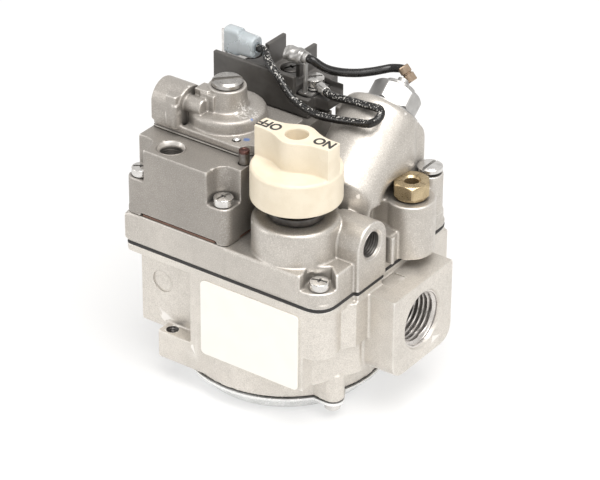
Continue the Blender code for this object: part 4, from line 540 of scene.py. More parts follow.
def tube(points, radius, sides):
    """A round tube along points, with a map that runs along it in millimetres and once around it."""
    points = [Vector(p) for p in points]
    heading = (points[1] - points[0]).normalized()
    side = heading.orthogonal().normalized()
    if abs(heading.z) < 0.9:
        side = (Z - heading * Z.dot(heading)).normalized()
    rows, runs, run = [], [], 0.0
    for i, p in enumerate(points):
        ahead = points[min(i + 1, len(points) - 1)] - points[max(i - 1, 0)]
        heading = ahead.normalized()
        side = (side - heading * side.dot(heading)).normalized()
        other = heading.cross(side)
        if i:
            run += (p - points[i - 1]).length
        runs.append(run)
        rows.append([p + side * x + other * y for x, y in circle(radius, sides)])
    bm = bmesh.new()
    chart = bm.loops.layers.uv.new("UVMap")
    made = [[bm.verts.new(p) for p in row] for row in rows]
    for i in range(len(rows) - 1):
        for k in range(sides):
            j = (k + 1) % sides
            face = bm.faces.new((made[i][k], made[i][j], made[i + 1][j], made[i + 1][k]))
            corners = ((runs[i], k), (runs[i], k + 1), (runs[i + 1], k + 1), (runs[i + 1], k))
            for corner, (u, v) in zip(face.loops, corners):
                corner[chart].uv = (u, v / sides)
    bm.faces.new(made[0])
    bm.faces.new(made[-1])
    bmesh.ops.recalc_face_normals(bm, faces=bm.faces)
    return bm


def through(points, step):
    """A smooth path through points, sampled about every step millimetres."""
    points = [Vector(p) for p in points]
    ends = [2 * points[0] - points[1]] + points + [2 * points[-1] - points[-2]]
    out = []
    for a, b, c, d in zip(ends, ends[1:], ends[2:], ends[3:]):
        count = max(1, round((c - b).length / step))
        for i in range(count):
            t = i / count
            out.append(0.5 * (2 * b + (c - a) * t + (2 * a - 5 * b + 4 * c - d) * t * t
                              + (3 * b - a - 3 * c + d) * t ** 3))
    return out + [points[-1]]


def piece(name, bm, paint, nodes=(), body="valve_body", sharp=38.0):
    """A finished piece in metres that rides on a body and stands for CAD nodes."""
    bmesh.ops.scale(bm, vec=(MM, MM, MM), verts=bm.verts)
    mesh = bpy.data.meshes.new(name)
    bm.to_mesh(mesh)
    bm.free()
    mesh.polygons.foreach_set("use_smooth", [True] * len(mesh.polygons))
    mesh.set_sharp_from_angle(angle=math.radians(sharp))
    mesh.materials.append(PAINTS[paint].material)
    obj = bpy.data.objects.new(name, mesh)
    SCENE.collection.objects.link(obj)
    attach(obj, body)
    if nodes:
        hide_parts(*nodes)
    return obj


def size(node):
    """A node's lowest and highest corner in millimetres."""
    low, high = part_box(node)
    return Vector(low) * PER_METRE, Vector(high) * PER_METRE


def middle(low, high):
    return ((low.x + high.x) / 2, (low.y + high.y) / 2, 0.0)


# Places and sizes, in millimetres

KNOB = (18.4, -19.8)
KNOB_TOP = 108.0
REGULATOR = (-22.0, -5.0)
PILOT_PORT = (40.6, 17.7)
PILOT_SCREW = (40.0, 30.2)
TAPPING = (-28.6, -28.8)
SIDE_PORT = (-9.6, 68.2)
VENT = (-13.0, 100.3)
GAS_WAY = (6.8, 33.8)
CONNECTOR = (21.0, 109.75)
FLAG_BARREL = (20.3, 112.4)
TOWER_END = Vector((21.0, 31.6, 95.4))
TOWER_AXIS = Vector((0.0, 0.76604, 0.64279))
PLATE_LEFT, PLATE_RIGHT, PLATE_STEP = -44.0, 41.4, 43.0
PLATE_FRONT, PLATE_BACK = -36.0, 44.0
BLOCK_RIGHT, BLOCK_BACK = 0.4, 35.0
SKIRT_LOW, SKIRT_TOP = 7.9, 18.4
RIM_WALL = 4.5
EAR_CIRCLE, EAR_ROOT = 39.4, 34.6
EAR_TURNS = [math.radians(a) for a in (-29.5, 29.5, 150.5, 209.5)]
PAN_RIM, PAN_WALL, PAN_FLOOR, PAN_SHEET, PAN_TOP = 37.2, 35.2, 31.5, 1.0, 7.4
SHELF_DROP = 3.0
SHELF_TOP = 101.5 - SHELF_DROP
VOXEL = 0.38
KNOB_VOXEL = 0.26
BLOCK_VOXEL = 0.3
SHEET_VOXEL = 0.2


# Leads

LEAD_STRAIGHT = 1.5
LEAD_STEP = 0.7


def lead(name, start, out, route, end, back, diameter, paint, sides, **facts):
    start, end = Vector(start), Vector(end)
    points = [start, start + Vector(out) * LEAD_STRAIGHT, *[Vector(p) for p in route],
              end + Vector(back) * LEAD_STRAIGHT, end]
    path = through(points, LEAD_STEP)
    made = piece(name, tube(path, diameter / 2, sides), paint, [name])


def leads():
    route = [(-24.2, 20.2, 109.9), (-20.5, 16.6, 109.2), (-16.5, 14.2, 107.8), (-13.0, 12.9, 105.8),
             (-9.8, 12.2, 103.1), (-6.4, 11.7, 100.5), (-2.0, 11.2, 98.8), (4.2, 10.4, 98.1),
             (10.0, 9.7, 98.8), (16.2, 9.2, 99.9), (21.8, 9.0, 101.0), (26.9, 9.13, 101.97),
             (28.65, 9.54, 102.51), (29.93, 10.66, 103.39), (30.4, 12.2, 104.35), (29.93, 13.74, 105.16),
             (28.65, 14.86, 105.59), (26.9, 15.27, 105.53), (21.8, 15.3, 105.0), (15.6, 16.4, 104.1),
             (10.4, 17.6, 102.9), (6.6, 18.5, 102.1)]
    lead("connector_lead", (-28.1, *CONNECTOR), X, route, (2.397, 20.323, 101.7), (0.89101, -0.45399, 0.0),
         2.9, "printed_jacket", 18, stiffness="limp", lay="loose")
    route = [(0.0, 22.5, 109.6), (3.6, 26.3, 107.6), (7.6, 31.2, 106.4), (11.0, 36.0, 106.05),
             (13.2, 39.6, 106.0), (14.9, 41.6, 106.2)]
    lead("magnet_lead", (-5.2, 20.3, 112.5), X, route, (19.3, 42.86, 106.7), (-0.97, -0.23, 0.0),
         3.1, "lead_jacket", 20, stiffness="medium", lay="loose")


# Castings

def ring(outer, inner, low, high, place=(0.0, 0.0), ease=0.0, axis=Z, sides=128):
    corners = [(inner, low), (outer, low), (outer, high, ease), (inner, high), (inner, low)]
    profile = soft(corners, 0.0)
    return turned(profile[:-1], place, axis, sides)


def rim_frame(low, high):
    """A strip along the castings' joint face, as wide as their walls."""
    opening = prism(plate_outline(-RIM_WALL), low - 1.0, high + 1.0)
    return boolean(prism(plate_outline(), low, high), [opening])


def ear_outline(turn, radius, base):
    """An ear round a bottom-cover screw, widening into the round rim."""
    arc = [math.radians(-66.0 + 12.0 * i) for i in range(12)]
    tip = [(EAR_CIRCLE + radius * math.cos(a), radius * math.sin(a)) for a in arc]
    points = [(EAR_ROOT, -base), *tip, (EAR_ROOT, base)]
    c, s = math.cos(turn), math.sin(turn)
    return [(x * c - y * s, x * s + y * c) for x, y in points]


def lower_casting():
    skirt = ring(36.54, 34.9, SKIRT_LOW, SKIRT_TOP)
    lugs = [prism(ear_outline(turn, 4.1, 6.6), SKIRT_LOW, SKIRT_TOP) for turn in EAR_TURNS]
    lobes = [ring(8.14, 3.0, 31.7, 49.6, (32.9, y), 0.8, sides=96) for y in (-27.5, 35.5)]
    cheek = prism([(33.0, -19.0), (38.6, -25.2), (43.4, -19.0), (43.4, -6.0), (33.0, -6.0)], 31.7, 49.3)
    bm = joined(cad("lower_body"), rim_frame(50.0, 51.3), skirt, cheek, *lugs, *lobes)
    bm = melted(bm, VOXEL)
    emblem = turned([(0.0, -0.25), (3.0, -0.25), (3.35, -0.12), (3.7, -0.34), (4.25, -0.34), (4.55, 0.3),
                     (0.0, 0.3)], (-32.7, -29.7, 36.2), -Y, 64)
    panel = prism(rectangle(42.0, -3.2, 47.4, 5.6, 0.5), 49.05, 51.0)
    places = [(EAR_CIRCLE * math.cos(turn), EAR_CIRCLE * math.sin(turn), 0.0) for turn in EAR_TURNS]
    sockets = [rod(2.0, 7.0, 16.0, place, Z, 24) for place in places]
    return boolean(bm, [emblem, panel, *sockets])


def tower():
    """The tilted magnet tower, scooped out beside the pilot nut, with the casting under it."""
    profile = soft([(0.0, 0.0), (15.53, 0.0, 3.5), (15.53, -34.0), (0.0, -34.0)], steps=8)
    shell = turned(profile, TOWER_END, TOWER_AXIS, 128)
    hull = bmesh.new()
    for vert in shell.verts:
        hull.verts.new(vert.co)
        hull.verts.new((vert.co.x, vert.co.y, 63.0))
    made = bmesh.ops.convex_hull(hull, input=hull.verts)
    bmesh.ops.delete(hull, geom=list({*made["geom_interior"], *made["geom_unused"]}), context="VERTS")
    bmesh.ops.recalc_face_normals(hull, faces=hull.faces)
    rooms = [rod(radius, -0.5, 45.0, place, Z, 64)
             for radius, place in ((17.1, (*KNOB, 77.5)), (5.4, (*PILOT_SCREW, 78.5)))]
    wide, tall, first = 13.8, 11.0, 0.05
    turns = [first + (math.pi / 2 - first) * i / 14 for i in range(14)]
    curve = [(wide * math.cos(a), tall * math.sin(a)) for a in turns]
    scoop = turned([(0.0, 0.5), *curve, (0.0, tall)], (46.3, 15.0, 73.3), Z, 80)
    recess = prism([(28.6, 10.0), (60.0, 10.0), (60.0, 1.5), (34.6, 1.5)], 60.0, 74.0)
    bm = melted(boolean(hull, rooms + [scoop, recess]), VOXEL * 1.6, 36, 1.0)
    bore = rod(8.05, 2.0, -30.0, TOWER_END, TOWER_AXIS, 64)
    return boolean(bm, [bore])


def upper_casting():
    pocket = prism([(31.3, -45.0), (60.0, -45.0), (46.0, -32.6), (36.2, -23.9), (31.3, -28.2)], 58.4, 70.0)
    corner = prism([(28.0, -25.5), (31.3, -28.2), (36.2, -23.9), (40.9, -28.0), (40.9, -16.0), (28.0, -16.0)],
                   58.0, 64.2)
    plate = boolean(cad("upper_body"), [box((3.0, -0.9, 64.4), (60.0, 60.0, 130.0)), pocket])
    bosses = [ring(15.65, 10.6, 62.0, 77.0, KNOB, 2.2), ring(8.84, 4.3, 53.3, 74.0, PILOT_PORT, 0.7),
              ring(4.84, 2.4, 62.0, 78.0, PILOT_SCREW, 0.5, sides=64)]
    tap = ring(8.64, 5.7, 28.5, 43.3, (0.0, *SIDE_PORT), 0.7, X)
    rib = box((36.0, 0.2, 56.0), (44.9, 1.8, 66.5))
    back_web = box((3.4, 24.0, 63.0), (8.5, 32.0, 95.0))
    web = box((26.0, 10.0, 63.0), (40.4, 30.0, 73.7))
    web = boolean(web, [rod(4.3, 60.0, 80.0, PILOT_PORT)])
    pads = [box((-0.2, -36.4, 53.8), (30.4, -35.0, 63.2)), box((-44.3, -36.3, 53.4), (-37.6, -35.0, 63.4))]
    bm = joined(plate, corner, tower(), tap, rib, back_web, web, rim_frame(52.45, 54.0), *pads, *bosses)
    return melted(bm, VOXEL)


def regulator_casting():
    outline = rectangle(PLATE_LEFT, PLATE_FRONT, BLOCK_RIGHT, BLOCK_BACK, 3.6)
    feet = boolean(prism(outline, 64.3, 66.5), [box((-37.3, -40.0, 60.0), (-4.0, 40.0, 70.0)),
                                                box((-50.0, -28.0, 60.0), (10.0, 27.0, 70.0))])
    bm = melted(joined(cad("regulator_block"), feet), VOXEL, share=0.35)
    mouth = turned([(0.0, 1.0), (5.0, 1.0), (4.9, -0.1), (4.05, -1.3), (4.05, -8.5), (0.0, -8.5)],
                   (*TAPPING, 91.2), Z, 72)
    return boolean(bm, [mouth])


def cover_casting():
    base = boolean(cad("regulator_cover"), [box((-31.9, -22.0, 100.3), (-28.0, -5.2, 112.0)),
                                            box((-31.4, -23.0, 95.2), (-28.0, -16.4, 112.0))])
    dome = ring(13.84, 9.8, 93.2, 100.1, REGULATOR, 3.6)
    neck = soft([(5.2, 99.0), (7.2, 99.0), (7.15, 100.1), (6.74, 108.1, 0.5), (5.2, 108.1)])
    neck = turned(neck, REGULATOR)
    foot = turned([(6.0, 99.6), (8.3, 99.9), (7.5, 100.4), (7.12, 101.4), (6.0, 101.4)], REGULATOR)
    vent = ring(7.34, 5.9, -44.0, -32.0, (0.0, *VENT), 0.9, X)
    end_wall = rod(7.2, -34.0, -32.0, (0.0, *VENT), X, 64)
    post = prism(rectangle(-37.0, -21.2, -32.4, -15.0, 0.9), 94.0, 106.2)
    bridge = box((-30.7, -12.4, 100.0), (-25.0, -7.0, 107.2))
    pipe = turned(soft([(0.0, -33.4), (3.0, -33.4, 1.4), (3.0, -24.8, 0.5), (0.0, -24.8)]),
                  (0.0, -14.6, 102.0), X, 64)
    corner = prism([(-7.5, -20.2), (-1.0, -20.2), (0.35, -18.8), (0.35, -12.5), (-4.0, -15.0)], 92.45, 95.05)
    bm = joined(base, dome, neck, foot, vent, end_wall, post, bridge, pipe, corner)
    bm = melted(bm, VOXEL * 0.85, share=0.35)
    scallop = rod(4.5, 90.0, 97.0, (-0.6, -20.7, 0.0), Z, 64)
    return boolean(bm, [scallop])


def castings():
    piece("lower_casting", lower_casting(), "cast_aluminium", ["lower_body"])
    piece("upper_casting", upper_casting(), "upper_aluminium", ["upper_body"], sharp=46.0)
    piece("regulator_casting", regulator_casting(), "dark_cast_aluminium",
          ["regulator_block"], sharp=42.0)
    piece("cover_casting", cover_casting(), "cover_aluminium", ["regulator_cover"],
          sharp=46.0)


# Threads

PIPE_TAPER = 1 / 32
THREAD_STEPS = 8
HALF_PIPE_PITCH, EIGHTH_PIPE_PITCH = 1.814, 0.941


def thread(name, base, axis, bore, pitch, depth, length, wall, sides=72,
           paint="machined_aluminium"):
    """A threaded liner in a bore: base is the bore's mouth and axis runs into it."""
    place = aim(base, axis)
    steps = int(length / pitch * THREAD_STEPS)
    rows = []
    for i in range(steps + 1):
        run = length * i / steps
        ramp_in = min(1.0, run / pitch, (length - run) / pitch)
        row = []
        for k, (x, y) in enumerate(circle(1.0, sides)):
            phase = (run / pitch - k / sides) % 1.0
            crest = 1.0 - abs(2.0 * phase - 1.0)
            crest = min(1.0, max(0.0, crest * 1.25 - 0.1))
            radius = bore - run * PIPE_TAPER - depth * crest * ramp_in
            row.append(place @ Vector((radius * x, radius * y, run)))
        rows.append(row)
    for run in (length, 0.0):
        rows.append([place @ Vector((x, y, run)) for x, y in circle(bore + wall, sides)])
    piece(name, skin(rows, cap=False), paint, sharp=60.0)


def threads():
    for name, x, axis in (("outlet_thread", 53.2, -X), ("inlet_thread", -52.5, X)):
        thread(name, (x, *GAS_WAY), axis, 10.35, HALF_PIPE_PITCH, 1.35, 15.0, 0.5)
    thread("side_port_thread", (42.4, *SIDE_PORT), -X, 4.66, EIGHTH_PIPE_PITCH, 0.15, 10.5, 0.4, sides=48,
           paint="shaded_thread")
    # Dark steel in the foot hole's thread is painted shade inside the hole.
    thread("foot_thread", (-26.5, -32.5, 19.6), -Z, 2.2, 0.7, 0.36, 9.0, 0.2, sides=32, paint="dark_steel")
    thread("tapping_thread", (*TAPPING, 89.5), -Z, 4.02, EIGHTH_PIPE_PITCH, 0.12, 6.5, 0.4,
           48, "shaded_thread")
    cone = [(4.92, 91.24), (4.06, 90.1), (4.06, 89.4), (5.02, 90.8)]
    piece("tapping_chamfer", turned(cone, TAPPING, Z, 72), "cut_aluminium")
    cone = [(5.75, 43.36), (4.7, 42.3), (4.7, 41.8), (5.85, 43.0)]
    piece("side_port_chamfer", turned(cone, (0.0, *SIDE_PORT), X, 72), "cut_aluminium")


# Fasteners

def cross_recess(across, depth, turn):
    """A cross and slot drive to sink in a screw head: a long slot and two tapered bars."""
    wide, over = 0.95, 0.9
    parts = []
    for long, deep, square, tapered in ((across * 1.9, depth * 0.62, 0.0, False), (across, depth, 0.0, True),
                                        (across, depth, math.pi / 2, True)):
        bar = prism(rectangle(-long / 2, -wide / 2, long / 2, wide / 2, wide * 0.2), -deep, over)
        for vert in bar.verts:
            if vert.co.z < 0.0 and tapered:
                vert.co.x *= 0.62
                vert.co.y *= 0.75
        bmesh.ops.rotate(bar, matrix=Matrix.Rotation(turn + square, 3, "Z"), verts=bar.verts)
        parts.append(bar)
    return parts


def pan_head(node, turn, up=True, slim=0.0, paint="zinc_steel", drop=0.0):
    """A cheese-head screw with a shallow combined cross and slot drive, over its CAD solid."""
    low, high = size(node)
    centre = (low + high) / 2
    radius = (high.x - low.x) / 2 - 0.15 - slim
    side = 1.0 if up else -1.0
    top = (high.z if up else low.z) - drop
    length = high.z - low.z
    head, crown, shank, tip = 2.4, 0.55, 1.85, 1.3
    profile = soft([(0.0, crown), (radius * 0.6, crown - 0.08, 1.5), (radius - 0.05, crown - 0.35, 0.4),
                    (radius, -head, 0.12), (shank, -head, 0.0), (shank, -length + 0.6, 0.2),
                    (tip, -length, 0.0), (0.0, -length)], 0.3, 6)
    drive = cross_recess(radius * 0.86, 1.1, turn)
    for tool in drive:
        shifted(tool, (0.0, 0.0, crown))
    bm = boolean(turned(profile, sides=48), drive)
    moved(bm, aim((centre.x, centre.y, top), Z * side))
    return piece(node + "_head", bm, paint, [node])


SCREW_SETS = {
    "block_screw": ((0.5, 1.3, 0.2, 0.9), {}),
    "body_screw": ((0.25, 0.8, 1.2, 0.4), {}),
    "pan_screw": ((0.1, 0.7, 1.1, 0.5), {"up": False, "slim": 0.6}),
    "terminal_mount_screw": ((0.3, 1.0), {"paint": "dark_steel", "drop": SHELF_DROP}),
}


def screws():
    """Every screw of a set has its own drive angle."""
    for stem, (turns, facts) in SCREW_SETS.items():
        for i, turn in enumerate(turns):
            pan_head(f"{stem}_{i + 1}", turn, **facts)
    pan_head("terminal_screw", 0.9, drop=SHELF_DROP)


def corner_turn(node, base, axis):
    """The angle of a hexagon's first corner about its axis, taken from its CAD solid."""
    inverse = aim(base, axis).inverted()
    corners = [inverse @ (v.co * PER_METRE) for v in NODES[node].data.vertices]
    best = max(corners, key=lambda p: round(p.xy.length, 3))
    return math.atan2(best.y, best.x)


def hexagon(flats, low, high, turn, crown):
    """A hexagon with turned chamfers on both ends."""
    corner = flats / math.sqrt(3.0)
    outline = []
    for i in range(6):
        angle = turn + math.pi / 3 * i
        for step in (-0.045, 0.0, 0.045):
            reach = corner * (0.985 if step else 0.994)
            outline.append((reach * math.cos(angle + step), reach * math.sin(angle + step)))
    inner = flats / 2 * 0.985
    outer = corner + 0.1
    profile = [(0.0, low), (inner, low), (outer, low + crown), (outer, high - crown), (inner, high),
               (0.0, high)]
    return boolean(prism(outline, low - 0.5, high + 0.5), [turned(profile, sides=96)], "INTERSECT")


def magnet_nut():
    end, axis = TOWER_END, TOWER_AXIS
    hexa = hexagon(16.0, 0.9, 8.8, corner_turn("magnet_nut", end, axis), 1.3)
    stub = turned(soft([(0.0, 12.6), (2.2, 12.6), (2.4, 10.6, 0.2), (5.4, 10.5, 0.5), (5.9, 8.0),
                        (7.7, 2.0), (7.7, -7.0, 0.4), (0.0, -7.0)]), sides=64)
    bm = boolean(hexa, [stub], "UNION")
    moved(bm, aim(end, axis))
    piece("magnet_hex", bm, "chrome", ["magnet_nut"], sharp=25.0)
    profile = soft([(8.0, -0.6), (11.2, -0.6), (11.2, 0.8, 0.3), (8.0, 0.8, 0.1), (8.0, -0.6)])[:-1]
    piece("magnet_seal_ring", turned(profile, end, axis, 96), "chrome", ["magnet_washer"])


def pilot_nut():
    base = PILOT_PORT
    hexa = hexagon(12.2, 75.5, 80.7, corner_turn("pilot_nut", base, Z), 0.7)
    collar = turned(soft([(0.0, 76.0), (6.0, 76.0), (6.0, 74.7, 0.15), (5.5, 74.3), (4.0, 74.3),
                          (4.0, 64.8, 0.3), (0.0, 64.8)]), sides=64)
    bore = turned([(0.0, 81.5), (3.3, 81.5), (3.3, 80.6), (2.6, 79.9), (2.6, 64.0), (0.0, 64.0)], sides=64)
    bm = boolean(boolean(hexa, [collar], "UNION"), [bore])
    shifted(bm, base)
    piece("pilot_hex", bm, "brass", ["pilot_nut"], sharp=25.0)


def regulator_cap():
    cap = turned(soft([(0.0, 110.6), (4.7, 110.5, 0.6), (5.55, 109.7, 0.4), (5.6, 108.4, 0.1), (4.8, 108.4),
                       (4.8, 105.4, 0.2), (0.0, 105.4)]), sides=96)
    slot = box((-7.0, -0.9, 109.45), (7.0, 0.9, 112.0))
    bmesh.ops.rotate(slot, matrix=Matrix.Rotation(math.radians(46.0), 3, "Z"), verts=slot.verts)
    cap = boolean(cap, [slot])
    shifted(cap, REGULATOR)
    piece("slotted_cap", cap, "cap_steel", ["regulator_cap"], sharp=30.0)


def pilot_screw():
    low = size("pilot_screw")[0]
    head = turned(soft([(0.0, 81.1), (3.5, 81.05, 0.8), (4.6, 80.5, 0.4), (4.6, 79.1, 0.2), (2.0, 79.4),
                        (2.0, low.z + 2.0, 0.2), (0.0, low.z)]), sides=72)
    head = boolean(head, [box((-0.55, -6.0, 80.1), (0.55, 6.0, 83.0))])
    shifted(head, PILOT_SCREW)
    piece("pilot_needle_head", head, "zinc_steel", ["pilot_screw"], "pilot_needle", 30.0)
    profile = [(3.35 + 0.78 * x, 78.7 + 0.42 * y) for x, y in circle(1.0, 10)]
    seal = turned(profile, PILOT_SCREW, Z, 48)
    piece("pilot_seal", seal, "black_rubber", ["pilot_oring"])


def pins_and_rivets():
    low, high = size("sealing_pin")
    pin = soft([(0.0, high.z - 0.25), (0.9, high.z - 0.3, 0.3), (1.1, high.z, 0.2), (1.9, high.z - 0.1, 0.3),
                (1.9, low.z), (0.0, low.z)])
    pin = turned(pin, middle(low, high), Z, 40)
    piece("lacquered_pin", pin, "red_tipped_steel", ["sealing_pin"])
    for node in ("cover_rivet_1", "cover_rivet_2"):
        low, high = size(node)
        place = middle(low, high)
        top, seat = high.z, high.z - 0.6
        rivet = turned(soft([(0.0, top), (0.7, top - 0.02, 0.6), (1.4, seat + 0.1, 0.2), (1.4, seat, 0.0),
                             (1.2, seat, 0.0), (1.2, low.z, 0.1), (0.0, low.z)], 0.2), place, Z, 32)
        piece(node + "_head", rivet, "zinc_steel", [node])


def stem_bushing():
    foot = size("stem_bushing")[0].z
    profile = soft([(3.4, 81.5), (7.6, 81.5, 0.4), (7.6, 79.8, 0.3), (10.0, 79.8, 0.4), (10.0, 77.3, 0.2),
                    (6.0, 77.3), (6.0, foot, 0.3), (3.4, foot), (3.4, 81.5)])[:-1]
    # Dark steel on the bush: partly its grease, partly painted shade in the gap under the knob's skirt.
    piece("stem_bush", turned(profile, KNOB), "dark_steel", ["stem_bushing"])


# Springs

COIL_STEPS = 36


def spring(node, base, axis, length, radius, wire, turns):
    place = aim(base, axis)
    count = turns * COIL_STEPS
    rings = [circle(radius, COIL_STEPS)[i % COIL_STEPS] for i in range(count + 1)]
    path = [place @ Vector((x, y, wire / 2 + (length - wire) * i / count)) for i, (x, y) in enumerate(rings)]
    made = piece(node + "_coil", tube(path, wire / 2, 10), "spring_steel", [node])
    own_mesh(made)


def springs():
    for node, joint, place, radius, wire, turns, travel, fixed_low in (
            ("stem_spring", "knob_push", KNOB, 4.1, 0.7, 3, 4.5, True),
            ("main_valve_spring", "main_valve_lift", (0.0, 0.0), 6.2, 1.0, 3, 3.0, False),
            ("regulator_spring", "servo_lift", REGULATOR, 3.4, 0.7, 4, 0.8, False)):
        low, high = size(node)
        length = high.z - low.z
        spring(node, (*place, low.z), Z, length, radius, wire, turns)
    end, axis = TOWER_END, TOWER_AXIS
    free, shut = 11.5, 9.0
    spring("safety_spring", end - axis * 18.8, axis, free, 6.7, 0.7, 5)


# Sheets and gaskets

def plate_outline(g=0.0):
    """The castings' joint face, grown by g."""
    wide, small = max(8.5 + g, 0.5), max(1.8 + g, 0.5)
    left, right, step = PLATE_LEFT - g, PLATE_RIGHT + g, PLATE_STEP + g
    front, back, low, high = PLATE_FRONT - g, PLATE_BACK + g, -17.6 - g, -1.6 + g
    corners = [(left, front, small), (right, front, wide), (right, low, 0.6), (step, low, 0.9),
               (step, high, 0.9), (right, high, 0.6), (right, back, wide), (left, back, small)]
    return loop(corners, steps=8)


def bead(outline_of, low, high, bulge):
    """A squeezed sheet whose edge swells between the faces that hold it."""
    rows = []
    for i in range(7):
        t = i / 6
        grow = bulge * (math.sin(math.pi * t) ** 0.6) - 0.25
        rows.append([(x, y, low + (high - low) * t) for x, y in outline_of(grow)])
    return skin(rows)


def cover_outline(g=0.0):
    """The regulator cover's outline, grown by g."""
    left, right, front, back = PLATE_LEFT - g, BLOCK_RIGHT + g, -20.3 - g, 10.3 + g
    corners = [(left, front), (-6.1 + g * 0.4, front), (right, -13.8 - g * 0.4), (right, back), (left, back)]
    return loop(corners, 2.2, 4)


def gaskets():
    low, high = size("body_gasket")
    seal = bead(plate_outline, low.z, high.z, 0.3)
    piece("body_seal", seal, "black_rubber", ["body_gasket"])
    low, high = size("regulator_diaphragm")
    piece("servo_sheet", bead(cover_outline, low.z, high.z - 0.1, 0.15), "grey_sheet",
          ["regulator_diaphragm"])
    low, high = size("main_diaphragm")
    sheet = bead(lambda grow: circle(high.x - 1.4 + grow, 120), low.z, high.z, 0.0)
    piece("diaphragm_sheet", sheet, "black_rubber", ["main_diaphragm"])
    low, high = size("block_gasket")
    corners = [box((x, y, 60.0), (x + 8.0, y + 9.0, 70.0)) for x in (-44.4, -4.9) for y in (-36.9, 26.6)]
    block = boolean(prism(rectangle(-43.6, -35.6, 0.0, 34.6, 0.8), low.z, high.z),
                    [box((-40.0, -30.0, 60.0), (-4.0, 30.0, 70.0)), *corners])
    piece("fibre_gasket", block, "fibre", ["block_gasket"])


def pan():
    """The pressed bottom cover: a dished steel sheet with a flat rim and four ears."""
    under, inner = PAN_TOP - 1.1, 0.6
    outside = soft([(0.0, 0.0), (PAN_FLOOR, 0.0, 2.6), (PAN_WALL, under, 0.9), (PAN_RIM, under, 0.2),
                    (PAN_RIM, PAN_TOP, 0.2)], steps=8)
    inside = soft([(PAN_RIM, PAN_TOP), (PAN_WALL - 0.8, PAN_TOP, 0.6), (PAN_FLOOR - inner, PAN_SHEET, 1.8),
                   (0.0, PAN_SHEET)], steps=8)
    dish = turned(outside + inside[1:], sides=160)
    ears = [prism(ear_outline(turn, 4.2, 7.4), 6.36, 7.36) for turn in EAR_TURNS]
    piece("bottom_pan", boolean(dish, ears, "UNION"), "pan_steel", ["bottom_cover"], sharp=30.0)


def label():
    """The bare white sticker on the front panel."""
    outline = rectangle(-10.7, 18.0, 31.2, 48.0, 2.0, 6)
    sticker = prism(outline, PLATE_FRONT - 0.55, PLATE_FRONT, 1)
    piece("bare_label", sticker, "label_stock")


# Knob

def grip_outline():
    """A bar with a swollen middle and round ends."""
    reach, half, swell, spread, steps = 15.8, 3.4, 3.8, 6.2, 48
    end = math.sqrt(reach * reach - half * half)
    side = [end * math.cos(math.pi * i / steps) for i in range(steps + 1)]
    side = [(x, half + swell * math.exp(-(x / spread) ** 2)) for x in side]
    tip = [(-reach * math.cos(a), reach * math.sin(a)) for a in (0.14, 0.07, 0.0, -0.07, -0.14)]
    return side + tip + [(-x, -y) for x, y in side + tip]


def knob():
    profile = soft([(0.0, 96.6), (15.3, 96.5, 0.4), (16.1, 95.8, 0.9), (16.1, 84.0, 0.5), (13.7, 84.0, 0.3),
                    (13.7, 93.5, 0.8), (5.2, 93.5, 0.6), (5.2, 89.5, 0.2), (0.0, 89.5)], steps=6)
    body = turned(profile, sides=160)
    grip = prism(grip_outline(), 93.8, KNOB_TOP)
    bm = melted(joined(body, grip), KNOB_VOXEL, 4)
    hole = soft([(0.0, 101.0), (4.0, 101.0, 0.3), (4.0, 107.6, 0.2), (4.6, 108.6), (0.0, 108.6)])
    hole = turned(hole, sides=72)
    stem = rod(3.3, 88.0, 96.2)
    bm = boolean(bm, [hole, stem])
    shifted(bm, KNOB)
    piece("dial_knob", bm, "cream_plastic", ["control_knob"], body="knob", sharp=50.0)


def knob_print():
    for word, along, turn in (("OFF", -11.0, math.pi), ("ON", 11.2, 0.0)):
        data = bpy.data.curves.new(word, "FONT")
        data.body = word
        data.size = 5.9
        data.align_x = "CENTER"
        data.align_y = "CENTER"
        data.extrude = 0.04
        data.offset = 0.20
        text = bpy.data.objects.new(word, data)
        SCENE.collection.objects.link(text)
        bm = worked(text)
        bmesh.ops.remove_doubles(bm, verts=bm.verts, dist=1e-4)
        bmesh.ops.scale(bm, vec=(0.86, 1.0, 1.0), verts=bm.verts)
        move = Matrix.Translation((KNOB[0] + along, KNOB[1], KNOB_TOP)) @ Matrix.Rotation(turn, 4, "Z")
        moved(bm, move)
        piece("print_" + word.lower(), bm, "black_print", body="knob")


# Terminals

def pressed(bm):
    """A thin pressing with its edges eased."""
    return melted(bm, SHEET_VOXEL, 2, 0.4)


def terminal_moulding():
    shelf = box((-8.9, 15.0, SHELF_TOP), (6.0, 29.6, 120.0))
    sinks = [rod(4.2, SHELF_TOP + 0.1, 120.0, (x, 29.0, 0.0), Z, 40) for x in (-37.0, -19.0)]
    block = melted(boolean(cad("terminal_block"), [shelf, *sinks]), BLOCK_VOXEL)
    piece("terminal_moulding", block, "dark_plastic", ["terminal_block"], sharp=50.0)


